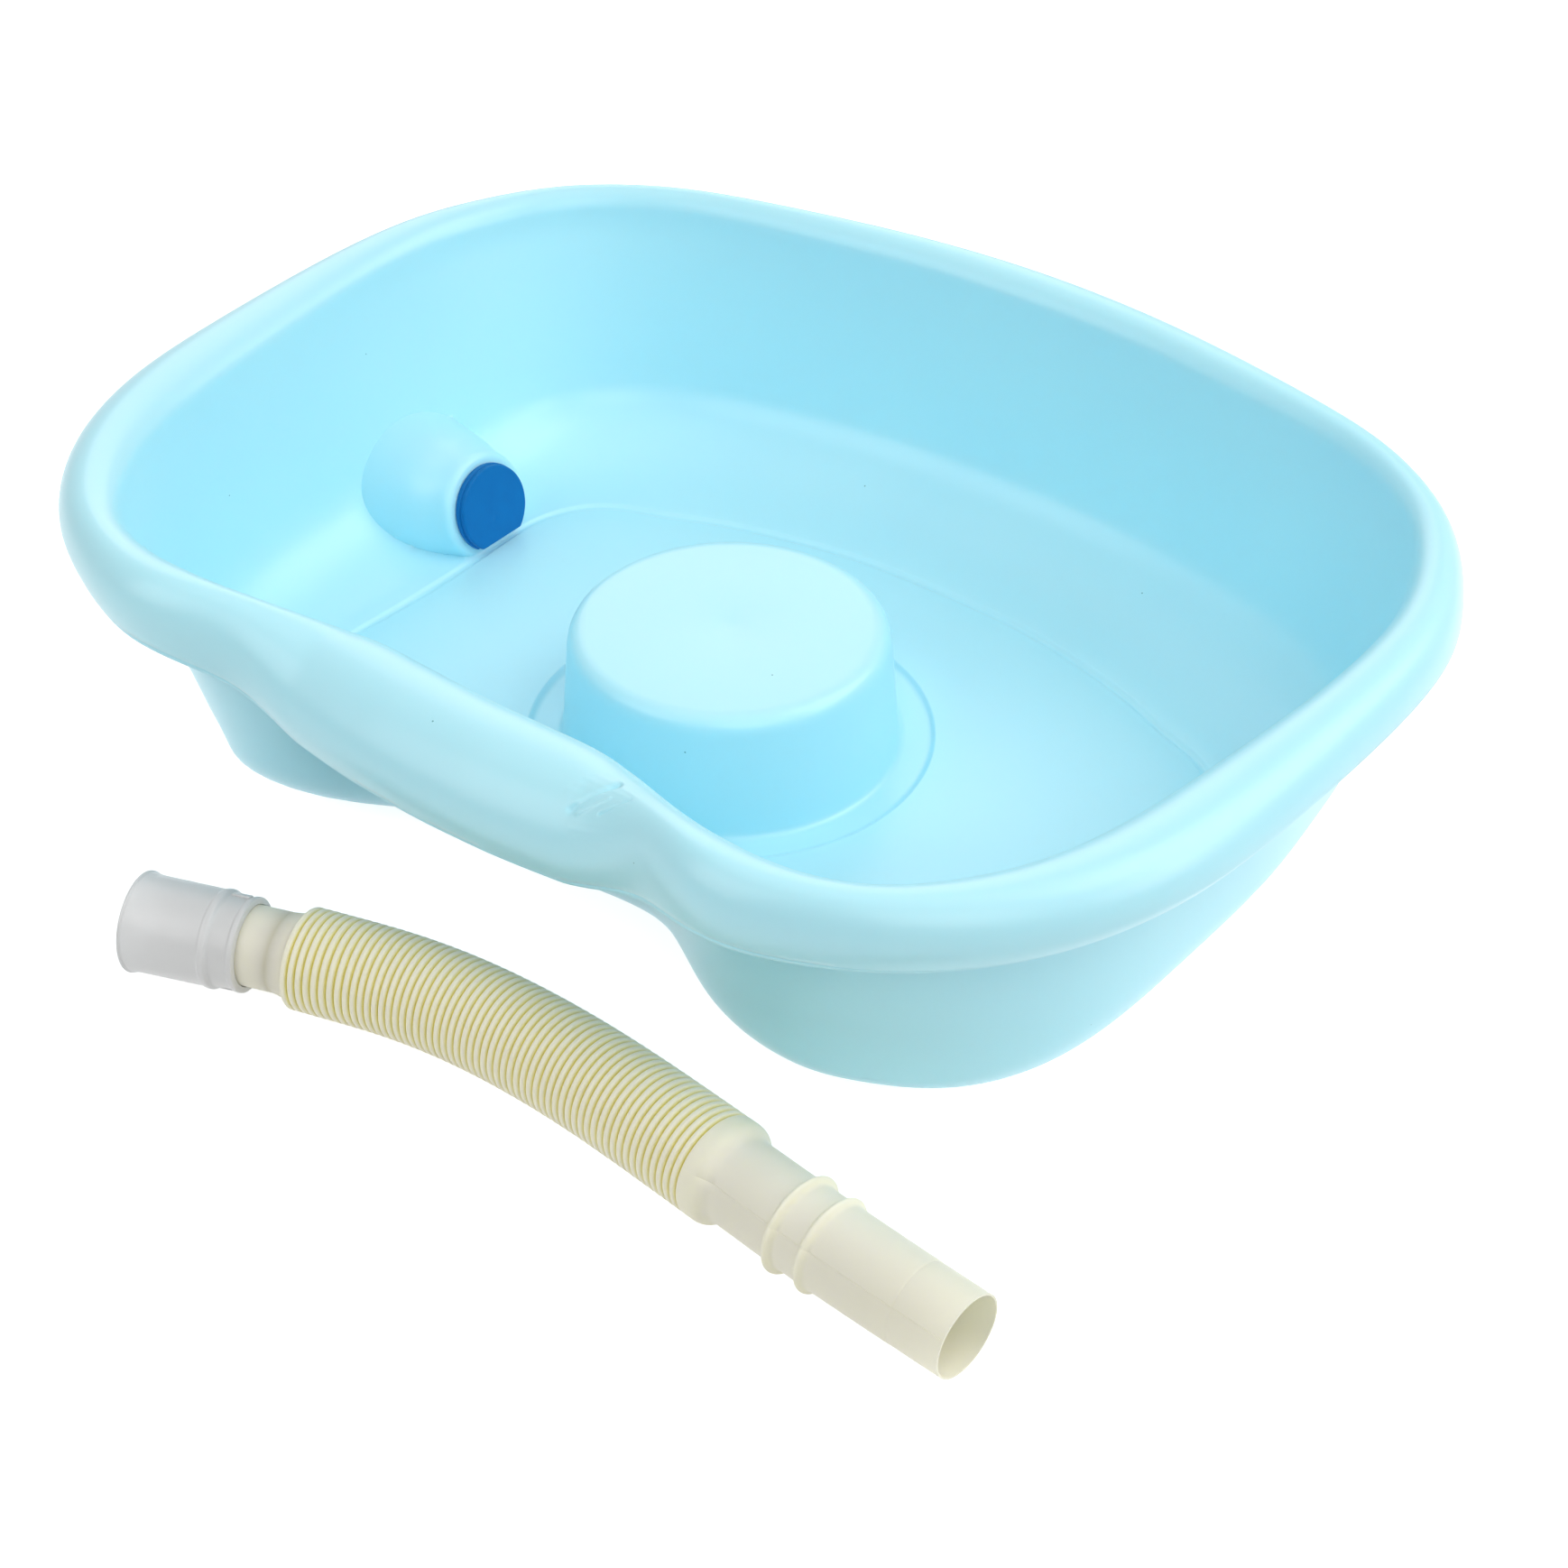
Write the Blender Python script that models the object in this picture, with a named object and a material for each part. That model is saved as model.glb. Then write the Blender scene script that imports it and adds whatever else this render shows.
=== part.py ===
"""Portable shampoo basin for washing the hair of someone lying down: a one-piece moulded basin with a neck rest
and a head rest, its drain stopper, and the loose ribbed drain hose with its connector.

Metres, +Z up. +X runs along the basin's long side, away from the drain, and -Y is the neck side. The origin is the
centre of the basin's length and width, on the surface that it stands on.
"""

import math

import bmesh
import bpy
import numpy as np
from mathutils import Matrix, Vector

# Basin as a whole
BASIN_LENGTH = 0.600
BASIN_WIDTH = 0.465
BASIN_HEIGHT = 0.134
WALL = 0.003
STATIONS = 72

# Outlines of half the basin, from the middle of the back round to the middle of the neck side.
# Each row is x then y, as shares of half the length and half the width.
LIP_SHARES = (
    (0.000, 1.000), (0.200, 0.982), (0.384, 0.940), (0.562, 0.880), (0.715, 0.802), (0.850, 0.666),
    (0.937, 0.497), (0.988, 0.302), (1.000, 0.043), (0.991, -0.237), (0.966, -0.476), (0.897, -0.691),
    (0.786, -0.859), (0.652, -0.961), (0.500, -1.003), (0.366, -0.956), (0.247, -0.962), (0.120, -0.982),
    (0.000, -0.988),
)
BRIM_SHARES = (
    (0.000, 0.888), (0.190, 0.878), (0.360, 0.846), (0.532, 0.802), (0.665, 0.744), (0.790, 0.628),
    (0.865, 0.460), (0.897, 0.282), (0.895, 0.042), (0.871, -0.218), (0.843, -0.440), (0.796, -0.628),
    (0.720, -0.772), (0.625, -0.858), (0.497, -0.880), (0.373, -0.843), (0.245, -0.775), (0.120, -0.766),
    (0.000, -0.770),
)
WALL_FOOT_SHARES = (
    (0.000, 0.812), (0.185, 0.804), (0.345, 0.772), (0.503, 0.718), (0.626, 0.650), (0.732, 0.530),
    (0.787, 0.370), (0.806, 0.212), (0.826, 0.022), (0.834, -0.194), (0.830, -0.400), (0.789, -0.580),
    (0.694, -0.700), (0.588, -0.770), (0.497, -0.836), (0.371, -0.824), (0.240, -0.714), (0.117, -0.686),
    (0.000, -0.700),
)
FLOOR_SHARES = (
    (0.000, 0.538), (0.160, 0.530), (0.287, 0.500), (0.407, 0.456), (0.500, 0.406), (0.597, 0.350),
    (0.652, 0.237), (0.660, 0.110), (0.657, -0.022), (0.658, -0.156), (0.664, -0.290), (0.660, -0.435),
    (0.610, -0.565), (0.510, -0.640), (0.398, -0.630), (0.300, -0.590), (0.208, -0.562), (0.108, -0.550),
    (0.000, -0.546),
)
# How far each place of those outlines belongs to the neck rest: 0 is plain rim, 1 is neck rest.
NECK_REST_SHARES = (0,) * 15 + (0.4, 1, 1, 1)
# How far the lip's edge has come down there from the plain rim's level to the neck rest's.
LIP_DROP_SHARES = (0,) * 10 + (0.03, 0.17, 0.3, 0.42, 0.54, 0.85, 1, 1, 1)
# How far up the wall the rounding at its foot reaches there; it is tightest at the two front corners.
FOOT_ROUND_SHARES = (0.28,) * 9 + (0.31, 0.33, 0.28, 0.17, 0.13, 0.22, 0.33, 0.35, 0.32, 0.28)
# The drain's end wall leans in more than the other one, so the floor and the wall's foot sit off the middle.
FOOT_SHIFT = 0.010
FRONT_FOOT_SHIFT = 0.0105
FLOOR_SHIFT = 0.009

# Rim, rolled over and open below
RIM_ROUND = 0.012
LIP_DROP = 0.016
RIM_CREST_SHARE = 0.5

# Neck rest, a broad low saddle in the rim
NECK_REST_DIP = 0.0145
NECK_REST_ROUND = 0.027
NECK_REST_DROP = 0.0395
NECK_CREST_SHARE = 0.36

# Floor and the foot ring that its outline groove makes underneath
FOOT_HEIGHT = 0.0025
FOOT_TRIM = 0.0003
FLOOR_GROOVE_WIDTH = 0.007
FLOOR_GROOVE_FLAT = 0.003
FLOOR_LAND = 0.002
LEAST_FILLET = 0.012
FOOT_ROUND_WEIGHT_SHARE = 0.72

# Head rest, a hollow round pedestal
HEAD_REST_RADIUS = 0.073
HEAD_REST_HEIGHT = 0.058
HEAD_REST_CLEARANCE = 0.0015
HEAD_REST_DRAFT = 0.004
HEAD_REST_FILLET = 0.0085
HEAD_REST_BASE_FILLET = 0.003
RING_GROOVE_WIDTH = 0.014
RING_GROOVE_SLOPE = 0.003
RING_GROOVE_DEPTH = 0.002

# Drain boss on the left end wall, its pocket outside, and the spout in that pocket
DRAIN_TILT = math.radians(13)
DRAIN_HEIGHT = 0.019
DRAIN_OFFSET = 0.024
BOSS_CLEARANCE = 0.0003
BOSS_TIP_RADIUS = 0.0268
BOSS_STEP_RADIUS = 0.034
BOSS_STEP_DEPTH = 0.020
BOSS_BASE_RADIUS = 0.043
BOSS_DEPTH = 0.048
BOSS_FILLET = 0.003
SPOUT_LENGTH = 0.024
SPOUT_WALL = 0.0035
DRAIN_BORE_RADIUS = 0.0145
ROUND_SIDES = 32
OVERRUN = 0.040

# Drain stopper
STOPPER_CAP_RADIUS = 0.0222
STOPPER_CAP_THICKNESS = 0.0053
STOPPER_FLAT_REACH = 0.0165
STOPPER_LINE_DEPTH = 0.0006
STOPPER_EDGE_ROUND = 0.0009
STOPPER_PLUG_LENGTH = 0.012
STOPPER_PLUG_TAPER = 0.0008
RUNNING_GAP = 0.0003

# Drain hose, a blown tube with ribs, a plain cuff at one end and a spigot at the other
HOSE_WALL = 0.0014
HOSE_CUFF_RADIUS = 0.017
HOSE_CUFF_LENGTH = 0.036
HOSE_RIB_RADIUS = 0.020
HOSE_GROOVE_RADIUS = 0.0183
HOSE_RIB_PITCH = 0.0036
HOSE_RIB_COUNT = 58
HOSE_LAND_LENGTH = 0.007
HOSE_SHOULDER_LENGTH = 0.004
HOSE_END_CUFF_LENGTH = 0.0295
HOSE_BEAD_LENGTH = 0.004
HOSE_BEAD_SLOPE = 0.001
HOSE_FIRST_BEAD_RADIUS = 0.020
HOSE_SECOND_BEAD_RADIUS = 0.019
HOSE_BEAD_SPACING = 0.015
HOSE_SPIGOT_LENGTH = 0.0625
HOSE_SPIGOT_END_RADIUS = 0.0155
HOSE_BORE_SPACING = 0.012
# The route that the hose lies along, on the surface in front of the neck side.
HOSE_ROUTE = (
    (-0.0602, -0.2814, 0.0213), (-0.0421, -0.2745, 0.0208), (-0.0232, -0.2676, 0.0205), (-0.0070, -0.2622, 0.0202),
    (0.0080, -0.2580, 0.0202), (0.0380, -0.2521, 0.0202), (0.0730, -0.2493, 0.0202), (0.1110, -0.2498, 0.0202),
    (0.1490, -0.2528, 0.0202), (0.1800, -0.2560, 0.0202), (0.2010, -0.2583, 0.0202), (0.2220, -0.2606, 0.0202),
    (0.2440, -0.2624, 0.0202), (0.2700, -0.2643, 0.0202), (0.2985, -0.2662, 0.0202),
)

# Hose connector, a socket that pushes over the drain's spout
CONNECTOR_WALL = 0.0021
CONNECTOR_SOCKET_DEPTH = 0.030
CONNECTOR_STOP_LENGTH = 0.0077
CONNECTOR_STOP_DEPTH = 0.0018
CONNECTOR_FLANGE_RADIUS = 0.0216
CONNECTOR_FLANGE_LENGTH = 0.0022
CONNECTOR_FLARE_LENGTH = 0.003
CONNECTOR_SEAT_DEPTH = 0.0127
CONNECTOR_SEAT_WALL = 0.0019
CONNECTOR_RIDGE_HEIGHT = 0.0006
CONNECTOR_RIDGE_LENGTH = 0.0018
CONNECTOR_STEP_LENGTH = 0.003

AQUA = (0.43, 0.86, 0.94)
BLUE = (0.004, 0.16, 0.48)
CREAM = (0.70, 0.68, 0.45)
MILKY_WHITE = (0.78, 0.78, 0.78)
MILKY_CLEARNESS = 0.2


def clear_scene():
    for old in list(bpy.data.objects):
        bpy.data.objects.remove(old, do_unlink=True)


def plastic(name, colour, roughness, transmission=0.0):
    """A Principled material with one colour."""
    material = bpy.data.materials.new(name)
    material.use_nodes = True
    shader = material.node_tree.nodes["Principled BSDF"]
    shader.inputs["Base Color"].default_value = (*colour, 1)
    shader.inputs["Roughness"].default_value = roughness
    shader.inputs["Transmission Weight"].default_value = transmission
    return material


def add_object(name, bm, material=None):
    """Turns a bmesh into an object in the scene."""
    mesh = bpy.data.meshes.new(name)
    bmesh.ops.recalc_face_normals(bm, faces=bm.faces)
    bm.to_mesh(mesh)
    bm.free()
    thing = bpy.data.objects.new(name, mesh)
    bpy.context.scene.collection.objects.link(thing)
    if material:
        mesh.materials.append(material)
        mesh.shade_smooth()
        mesh.set_sharp_from_angle(angle=math.radians(35))
    return thing


def as_helper(thing):
    """Keeps a cutter or a piece to be joined out of the model itself."""
    thing.hide_render = True
    thing.display_type = "WIRE"
    return thing


def combine(thing, other, operation):
    """Joins a helper to a body, cuts it out, or keeps what both hold."""
    modifier = thing.modifiers.new(f"{operation.lower()} {other.name}", "BOOLEAN")
    modifier.operation = operation
    modifier.solver = "EXACT"
    modifier.object = as_helper(other)


def smooth_loop(rows, count):
    """Evenly spaced points of the closed cubic spline through the rows."""
    knots = np.array(rows, float)
    total = len(knots)
    system = 4 * np.eye(total) + np.roll(np.eye(total), 1, 0) + np.roll(np.eye(total), -1, 0)
    bends = np.linalg.solve(system, 6 * (np.roll(knots, 1, 0) - 2 * knots + np.roll(knots, -1, 0)))
    found = []
    for step in range(count):
        place = step * total / count
        here = int(place)
        after = (here + 1) % total
        t = place - here
        point = (1 - t) * knots[here] + t * knots[after]
        point += ((1 - t) ** 3 - (1 - t)) * bends[here] / 6 + (t**3 - t) * bends[after] / 6
        found.append(point)
    return np.array(found)


def skin(bm, rings, closed=False):
    """Covers a row of rings with faces. A ring of one point is a pole."""
    loops = [[bm.verts.new(point) for point in ring] for ring in rings]
    pairs = list(zip(loops, loops[1:]))
    if closed:
        pairs.append((loops[-1], loops[0]))
    for inner, outer in pairs:
        for i in range(max(len(inner), len(outer))):
            corners = [inner[i % len(inner)], inner[(i + 1) % len(inner)]]
            corners += [outer[(i + 1) % len(outer)], outer[i % len(outer)]]
            bm.faces.new(dict.fromkeys(corners))


def turned(name, profile, place, material=None, closed=False, facet_turn=0):
    """A body turned about its own z axis from (radius, height) pairs, then put in place.

    facet_turn sets it round by part of a facet, so that no edge of it falls on an edge of a body that it cuts.
    """
    rings = []
    for radius, height in profile:
        if radius:
            angles = [2 * math.pi * (i + facet_turn) / ROUND_SIDES for i in range(ROUND_SIDES)]
            rings.append([place @ Vector((radius * math.cos(a), radius * math.sin(a), height)) for a in angles])
        else:
            rings.append([place @ Vector((0, 0, height))])
    bm = bmesh.new()
    skin(bm, rings, closed)
    return add_object(name, bm, material)


def round_corner(centre, height, radius, start, end, steps):
    """(radius, height) pairs of an arc about a centre, between two angles in degrees."""
    angles = [math.radians(start + (end - start) * i / steps) for i in range(steps + 1)]
    return [(centre + radius * math.cos(a), height + radius * math.sin(a)) for a in angles]


def basin_stations():
    """The basin's outlines in metres, station by station: lip, brim, wall foot, floor, then the three kinds of share."""
    shares = zip(NECK_REST_SHARES, LIP_DROP_SHARES, FOOT_ROUND_SHARES)
    halves = zip(LIP_SHARES, BRIM_SHARES, WALL_FOOT_SHARES, FLOOR_SHARES, shares)
    rows = [(*lip, *brim, *foot, *floor, *others) for lip, brim, foot, floor, others in halves]
    mirror = (-1, 1, -1, 1, -1, 1, -1, 1, 1, 1, 1)
    rows += [tuple(a * b for a, b in zip(row, mirror)) for row in rows[-2:0:-1]]
    found = smooth_loop(rows, STATIONS)
    across = (found[:, 1].max() + found[:, 1].min()) / 2
    scale_x = BASIN_LENGTH / 2 / found[:, 0].max()
    scale_y = BASIN_WIDTH / (found[:, 1].max() - found[:, 1].min())
    found[:, 0:8:2] *= scale_x
    found[:, 1:8:2] = (found[:, 1:8:2] - across) * scale_y
    found[:, 8:] = np.clip(found[:, 8:], 0, 1)
    front = np.clip(-found[:, 5] / (BASIN_WIDTH / 2), 0, 1)
    found[:, 4] += FOOT_SHIFT + FRONT_FOOT_SHIFT * front**2
    found[:, 6] += FLOOR_SHIFT
    return found


INNER_FLOOR = WALL + FOOT_HEIGHT - FOOT_TRIM
HEAD_REST_BASE = HEAD_REST_RADIUS + HEAD_REST_DRAFT + HEAD_REST_BASE_FILLET
RING_GROOVE_EDGE = HEAD_REST_BASE + RING_GROOVE_WIDTH


def head_rest_profile():
    """(radius, height) pairs from the top's middle down to the ring groove's outer edge."""
    top = INNER_FLOOR + HEAD_REST_HEIGHT
    low = INNER_FLOOR - RING_GROOVE_DEPTH
    corner = HEAD_REST_RADIUS - HEAD_REST_FILLET
    rounded = round_corner(corner, top - HEAD_REST_FILLET, HEAD_REST_FILLET, 90, 0, 3)
    side_foot = HEAD_REST_RADIUS + HEAD_REST_DRAFT
    return [
        (0, top),
        (corner / 2, top),
        *rounded,
        (side_foot, low + HEAD_REST_BASE_FILLET),
        (HEAD_REST_BASE, low),
        (RING_GROOVE_EDGE - RING_GROOVE_SLOPE, low),
        (RING_GROOVE_EDGE, INNER_FLOOR),
    ]


def head_rest_centre(stations):
    """The head rest's middle, as near to the neck side as the ring groove and the floor's groove let it be."""
    neck_side = -stations[STATIONS // 2][7]
    reach = RING_GROOVE_EDGE + FLOOR_LAND + FLOOR_GROOVE_WIDTH / 2 + HEAD_REST_CLEARANCE
    return Vector((0, min(reach - neck_side, 0), 0))


def section(station, centre, whole=True):
    """The basin's visible surface at one station, from the head rest out to the lip's edge, or to the brim."""
    lip, brim, foot, floor = (Vector((*station[i : i + 2], 0)) for i in (0, 2, 4, 6))
    neck, drop, foot_round = station[8:]
    out = (floor - centre).normalized()
    least = RING_GROOVE_EDGE + FLOOR_LAND + FLOOR_GROOVE_WIDTH / 2
    floor = centre + out * max((floor - centre).length, least)
    away = (foot - centre).normalized()
    foot = centre + away * max((foot - centre).length, (floor - centre).length + LEAST_FILLET)
    rise = Vector((0, 0, 1))
    points = [centre + out * radius + rise * height for radius, height in head_rest_profile()[1:]]
    groove_low = INNER_FLOOR - FOOT_HEIGHT
    outward = (foot - floor).normalized()
    points.append((points[-1] + floor + rise * INNER_FLOOR) / 2)
    points.append(floor - outward * FLOOR_GROOVE_WIDTH / 2 + rise * INNER_FLOOR)
    points.append(floor - outward * FLOOR_GROOVE_FLAT / 2 + rise * groove_low)
    points.append(floor + outward * FLOOR_GROOVE_FLAT / 2 + rise * groove_low)
    edge = floor + outward * FLOOR_GROOVE_WIDTH / 2 + rise * INNER_FLOOR
    points.append(edge)
    crest = BASIN_HEIGHT - NECK_REST_DIP * neck
    corner = foot + rise * INNER_FLOOR
    top = brim + rise * (crest - RIM_ROUND)
    knee = corner.lerp(top, foot_round)
    for step in range(1, 7):
        t = step / 6
        pull = 2 * FOOT_ROUND_WEIGHT_SHARE * t * (1 - t)
        points.append((edge * (1 - t) ** 2 + corner * pull + knee * t**2) / ((1 - t) ** 2 + pull + t**2))
    points += [knee.lerp(top, 1 / 2), top]
    if not whole:
        return points
    crest_share = RIM_CREST_SHARE + (NECK_CREST_SHARE - RIM_CREST_SHARE) * neck
    outer_round = RIM_ROUND + (NECK_REST_ROUND - RIM_ROUND) * neck
    for turn in (math.radians(30), math.radians(60), math.radians(90)):
        across = brim.lerp(lip, crest_share * (1 - math.cos(turn)))
        points.append(across + rise * (crest - RIM_ROUND * (1 - math.sin(turn))))
    for turn in (math.radians(30), math.radians(60), math.radians(90)):
        across = brim.lerp(lip, crest_share + (1 - crest_share) * math.sin(turn))
        points.append(across + rise * (crest - outer_round * (1 - math.cos(turn))))
    points.append(lip + rise * (crest - LIP_DROP - (NECK_REST_DROP - LIP_DROP) * drop))
    return points


def basin_surface(stations, whole=True):
    """The rings of the visible surface, from the pole on the head rest outwards."""
    centre = head_rest_centre(stations)
    sections = [section(station, centre, whole) for station in stations]
    pole = centre + Vector((0, 0, head_rest_profile()[0][1]))
    return [[pole]] + [list(ring) for ring in zip(*sections)]


def drain_place(stations):
    """The frame of the drain: origin in the middle of the boss's face, z into the basin, x up along the face."""
    floor_end = -min(station[6] for station in stations)
    foot = floor_end + BOSS_CLEARANCE
    back = math.tan(DRAIN_TILT) * DRAIN_HEIGHT
    tilt, lean = math.sin(DRAIN_TILT), math.cos(DRAIN_TILT)
    columns = ((-tilt, 0, lean), (0, -1, 0), (lean, 0, tilt))
    turn = Matrix(columns).transposed().to_4x4()
    return Matrix.Translation((-foot - back, DRAIN_OFFSET, INNER_FLOOR + DRAIN_HEIGHT)) @ turn


def frustum(inset, start, end):
    """(radius, height) pairs of the boss, or of its pocket when inset by the wall, from start back to end."""
    slope = (BOSS_BASE_RADIUS - BOSS_STEP_RADIUS) / (BOSS_DEPTH - BOSS_STEP_DEPTH)
    far = BOSS_BASE_RADIUS + slope * (end - BOSS_DEPTH)
    tip = BOSS_TIP_RADIUS - inset
    rounded = round_corner(tip - BOSS_FILLET, -start - BOSS_FILLET, BOSS_FILLET, 90, 0, 2)
    return [(0, -start), *rounded, (BOSS_STEP_RADIUS - inset, -BOSS_STEP_DEPTH), (far - inset, -end), (0, -end)]


def make_basin():
    """The basin: a lofted sheet given its wall, ground flat underneath, with the drain boss moulded in."""
    stations = basin_stations()
    bm = bmesh.new()
    skin(bm, basin_surface(stations))
    basin = add_object("basin", bm, plastic("aqua polyethylene", AQUA, 0.35))
    wall = basin.modifiers.new("wall", "SOLIDIFY")
    wall.thickness = WALL
    wall.offset = -1
    wall.use_even_offset = True
    wall.use_quality_normals = True

    bm = bmesh.new()
    inside = basin_surface(stations, whole=False)
    skin(bm, inside + [[Vector((0, 0, BASIN_HEIGHT))]])
    bmesh.ops.recalc_face_normals(bm, faces=bm.faces)
    bm.normal_update()
    for vert, normal in [(vert, vert.normal.copy()) for vert in bm.verts]:
        vert.co += normal * (WALL / 2)
    inner_space = as_helper(add_object("inner_space", bm))

    place = drain_place(stations)
    through = BOSS_DEPTH + OVERRUN
    boss = turned("drain_boss", frustum(0, 0, through), place)
    combine(boss, inner_space, "INTERSECT")
    pocket = turned("drain_pocket", frustum(WALL, WALL, through + OVERRUN), place)
    spout_radius = DRAIN_BORE_RADIUS + SPOUT_WALL
    spout_end = -WALL - SPOUT_LENGTH
    spout_profile = [(0, -WALL / 2), (spout_radius, -WALL / 2), (spout_radius, spout_end), (0, spout_end)]
    spout = turned("drain_spout", spout_profile, place, facet_turn=1 / 3)
    reach = SPOUT_LENGTH + OVERRUN
    bore_profile = [(0, OVERRUN), (DRAIN_BORE_RADIUS, OVERRUN), (DRAIN_BORE_RADIUS, -reach), (0, -reach)]
    bore = turned("drain_bore", bore_profile, place, facet_turn=2 / 3)
    combine(basin, boss, "UNION")
    combine(basin, pocket, "DIFFERENCE")
    combine(basin, spout, "UNION")
    combine(basin, bore, "DIFFERENCE")

    bm = bmesh.new()
    bmesh.ops.create_cube(bm, size=1)
    size = Vector((BASIN_LENGTH, BASIN_WIDTH, OVERRUN))
    bmesh.ops.scale(bm, vec=size, verts=bm.verts)
    bmesh.ops.translate(bm, vec=(0, 0, -OVERRUN / 2), verts=bm.verts)
    combine(basin, add_object("ground", bm), "DIFFERENCE")
    return place


def make_stopper(place):
    """The stopper: a tapered plug under a cap with a line round its edge and one flat side."""
    radius = DRAIN_BORE_RADIUS - RUNNING_GAP
    cap, line, edge = STOPPER_CAP_RADIUS, STOPPER_LINE_DEPTH, STOPPER_EDGE_ROUND
    back = RUNNING_GAP
    front = back + STOPPER_CAP_THICKNESS
    middle = (back + front) / 2
    profile = [
        (0, -STOPPER_PLUG_LENGTH),
        (radius - STOPPER_PLUG_TAPER, -STOPPER_PLUG_LENGTH),
        (radius, back),
        (cap, back),
        (cap, middle - line),
        (cap - line, middle),
        (cap - line, front - edge),
        (cap - line - edge, front),
        (0, front),
    ]
    stopper = turned("drain_stopper", profile, place, plastic("blue rubber", BLUE, 0.45))
    bm = bmesh.new()
    bm.from_mesh(stopper.data)
    flat = place @ Vector((-STOPPER_FLAT_REACH, 0, 0))
    down = place.to_3x3() @ Vector((-1, 0, 0))
    everything = bm.verts[:] + bm.edges[:] + bm.faces[:]
    bmesh.ops.bisect_plane(bm, geom=everything, plane_co=flat, plane_no=down, clear_outer=True)
    bmesh.ops.edgeloop_fill(bm, edges=[e for e in bm.edges if e.is_boundary])
    bmesh.ops.recalc_face_normals(bm, faces=bm.faces)
    bm.to_mesh(stopper.data)
    bm.free()


class Route:
    """A smooth line through the hose's points, read by the distance from its start and straight past its ends."""

    def __init__(self, points):
        knots = np.array(points)
        gaps = np.linalg.norm(np.diff(knots, axis=0), axis=1)
        marks = np.concatenate(([0], np.cumsum(gaps)))
        system = np.eye(len(knots))
        target = np.zeros_like(knots)
        for i in range(1, len(knots) - 1):
            before, after = gaps[i - 1], gaps[i]
            system[i, i - 1 : i + 2] = before / 6, (before + after) / 3, after / 6
            target[i] = (knots[i + 1] - knots[i]) / after - (knots[i] - knots[i - 1]) / before
        bends = np.linalg.solve(system, target)
        fine = np.linspace(0, marks[-1], 20 * len(knots))
        cells = np.clip(np.searchsorted(marks, fine, side="right") - 1, 0, len(gaps) - 1)
        width = gaps[cells][:, None]
        t = (fine - marks[cells])[:, None] / width
        line = (1 - t) * knots[cells] + t * knots[cells + 1]
        line += ((1 - t) ** 3 - (1 - t)) * bends[cells] * width**2 / 6 + (t**3 - t) * bends[cells + 1] * width**2 / 6
        self.line = line
        self.marks = np.concatenate(([0], np.cumsum(np.linalg.norm(np.diff(line, axis=0), axis=1))))

    def at(self, distance):
        """The point at a distance along the line."""
        line, marks = self.line, self.marks
        if distance < 0:
            return Vector(line[0] + (line[0] - line[1]) / (marks[1] - marks[0]) * -distance)
        if distance > marks[-1]:
            step = (line[-1] - line[-2]) / (marks[-1] - marks[-2])
            return Vector(line[-1] + step * (distance - marks[-1]))
        return Vector([np.interp(distance, marks, line[:, axis]) for axis in range(3)])


def hose_profile():
    """(distance, outer radius, bore radius) along the hose, from its cuff's mouth to its spigot's end."""
    cuff_bore = HOSE_CUFF_RADIUS - HOSE_WALL
    rib_bore = HOSE_GROOVE_RADIUS - HOSE_WALL
    rows = [(0, HOSE_CUFF_RADIUS, cuff_bore), (HOSE_CUFF_LENGTH / 2, HOSE_CUFF_RADIUS, cuff_bore)]
    ribs_start = HOSE_CUFF_LENGTH
    rows.append((ribs_start - HOSE_RIB_PITCH / 2, HOSE_CUFF_RADIUS, cuff_bore))
    for rib in range(HOSE_RIB_COUNT):
        start = ribs_start + rib * HOSE_RIB_PITCH
        rows.append((start, HOSE_RIB_RADIUS, rib_bore))
        rows.append((start + HOSE_RIB_PITCH / 2, HOSE_GROOVE_RADIUS, rib_bore))
    land = ribs_start + HOSE_RIB_COUNT * HOSE_RIB_PITCH
    shoulder = land + HOSE_LAND_LENGTH
    cuff = shoulder + HOSE_SHOULDER_LENGTH
    middle = (HOSE_RIB_RADIUS + HOSE_CUFF_RADIUS) / 2
    rows.append((land, HOSE_RIB_RADIUS, rib_bore))
    rows.append((shoulder, HOSE_RIB_RADIUS, rib_bore))
    rows.append((cuff - HOSE_SHOULDER_LENGTH / 3, middle, cuff_bore))
    rows.append((cuff, HOSE_CUFF_RADIUS, cuff_bore))
    for number, bead_radius in enumerate((HOSE_FIRST_BEAD_RADIUS, HOSE_SECOND_BEAD_RADIUS)):
        bead = cuff + HOSE_END_CUFF_LENGTH + number * HOSE_BEAD_SPACING
        rows.append((bead, HOSE_CUFF_RADIUS, cuff_bore))
        rows.append((bead + HOSE_BEAD_SLOPE, bead_radius, cuff_bore))
        rows.append((bead + HOSE_BEAD_LENGTH - HOSE_BEAD_SLOPE, bead_radius, cuff_bore))
        rows.append((bead + HOSE_BEAD_LENGTH, HOSE_CUFF_RADIUS, cuff_bore))
    spigot = bead + HOSE_BEAD_LENGTH + HOSE_SPIGOT_LENGTH
    rows.append((spigot, HOSE_SPIGOT_END_RADIUS, HOSE_SPIGOT_END_RADIUS - HOSE_WALL))
    return rows


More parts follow.
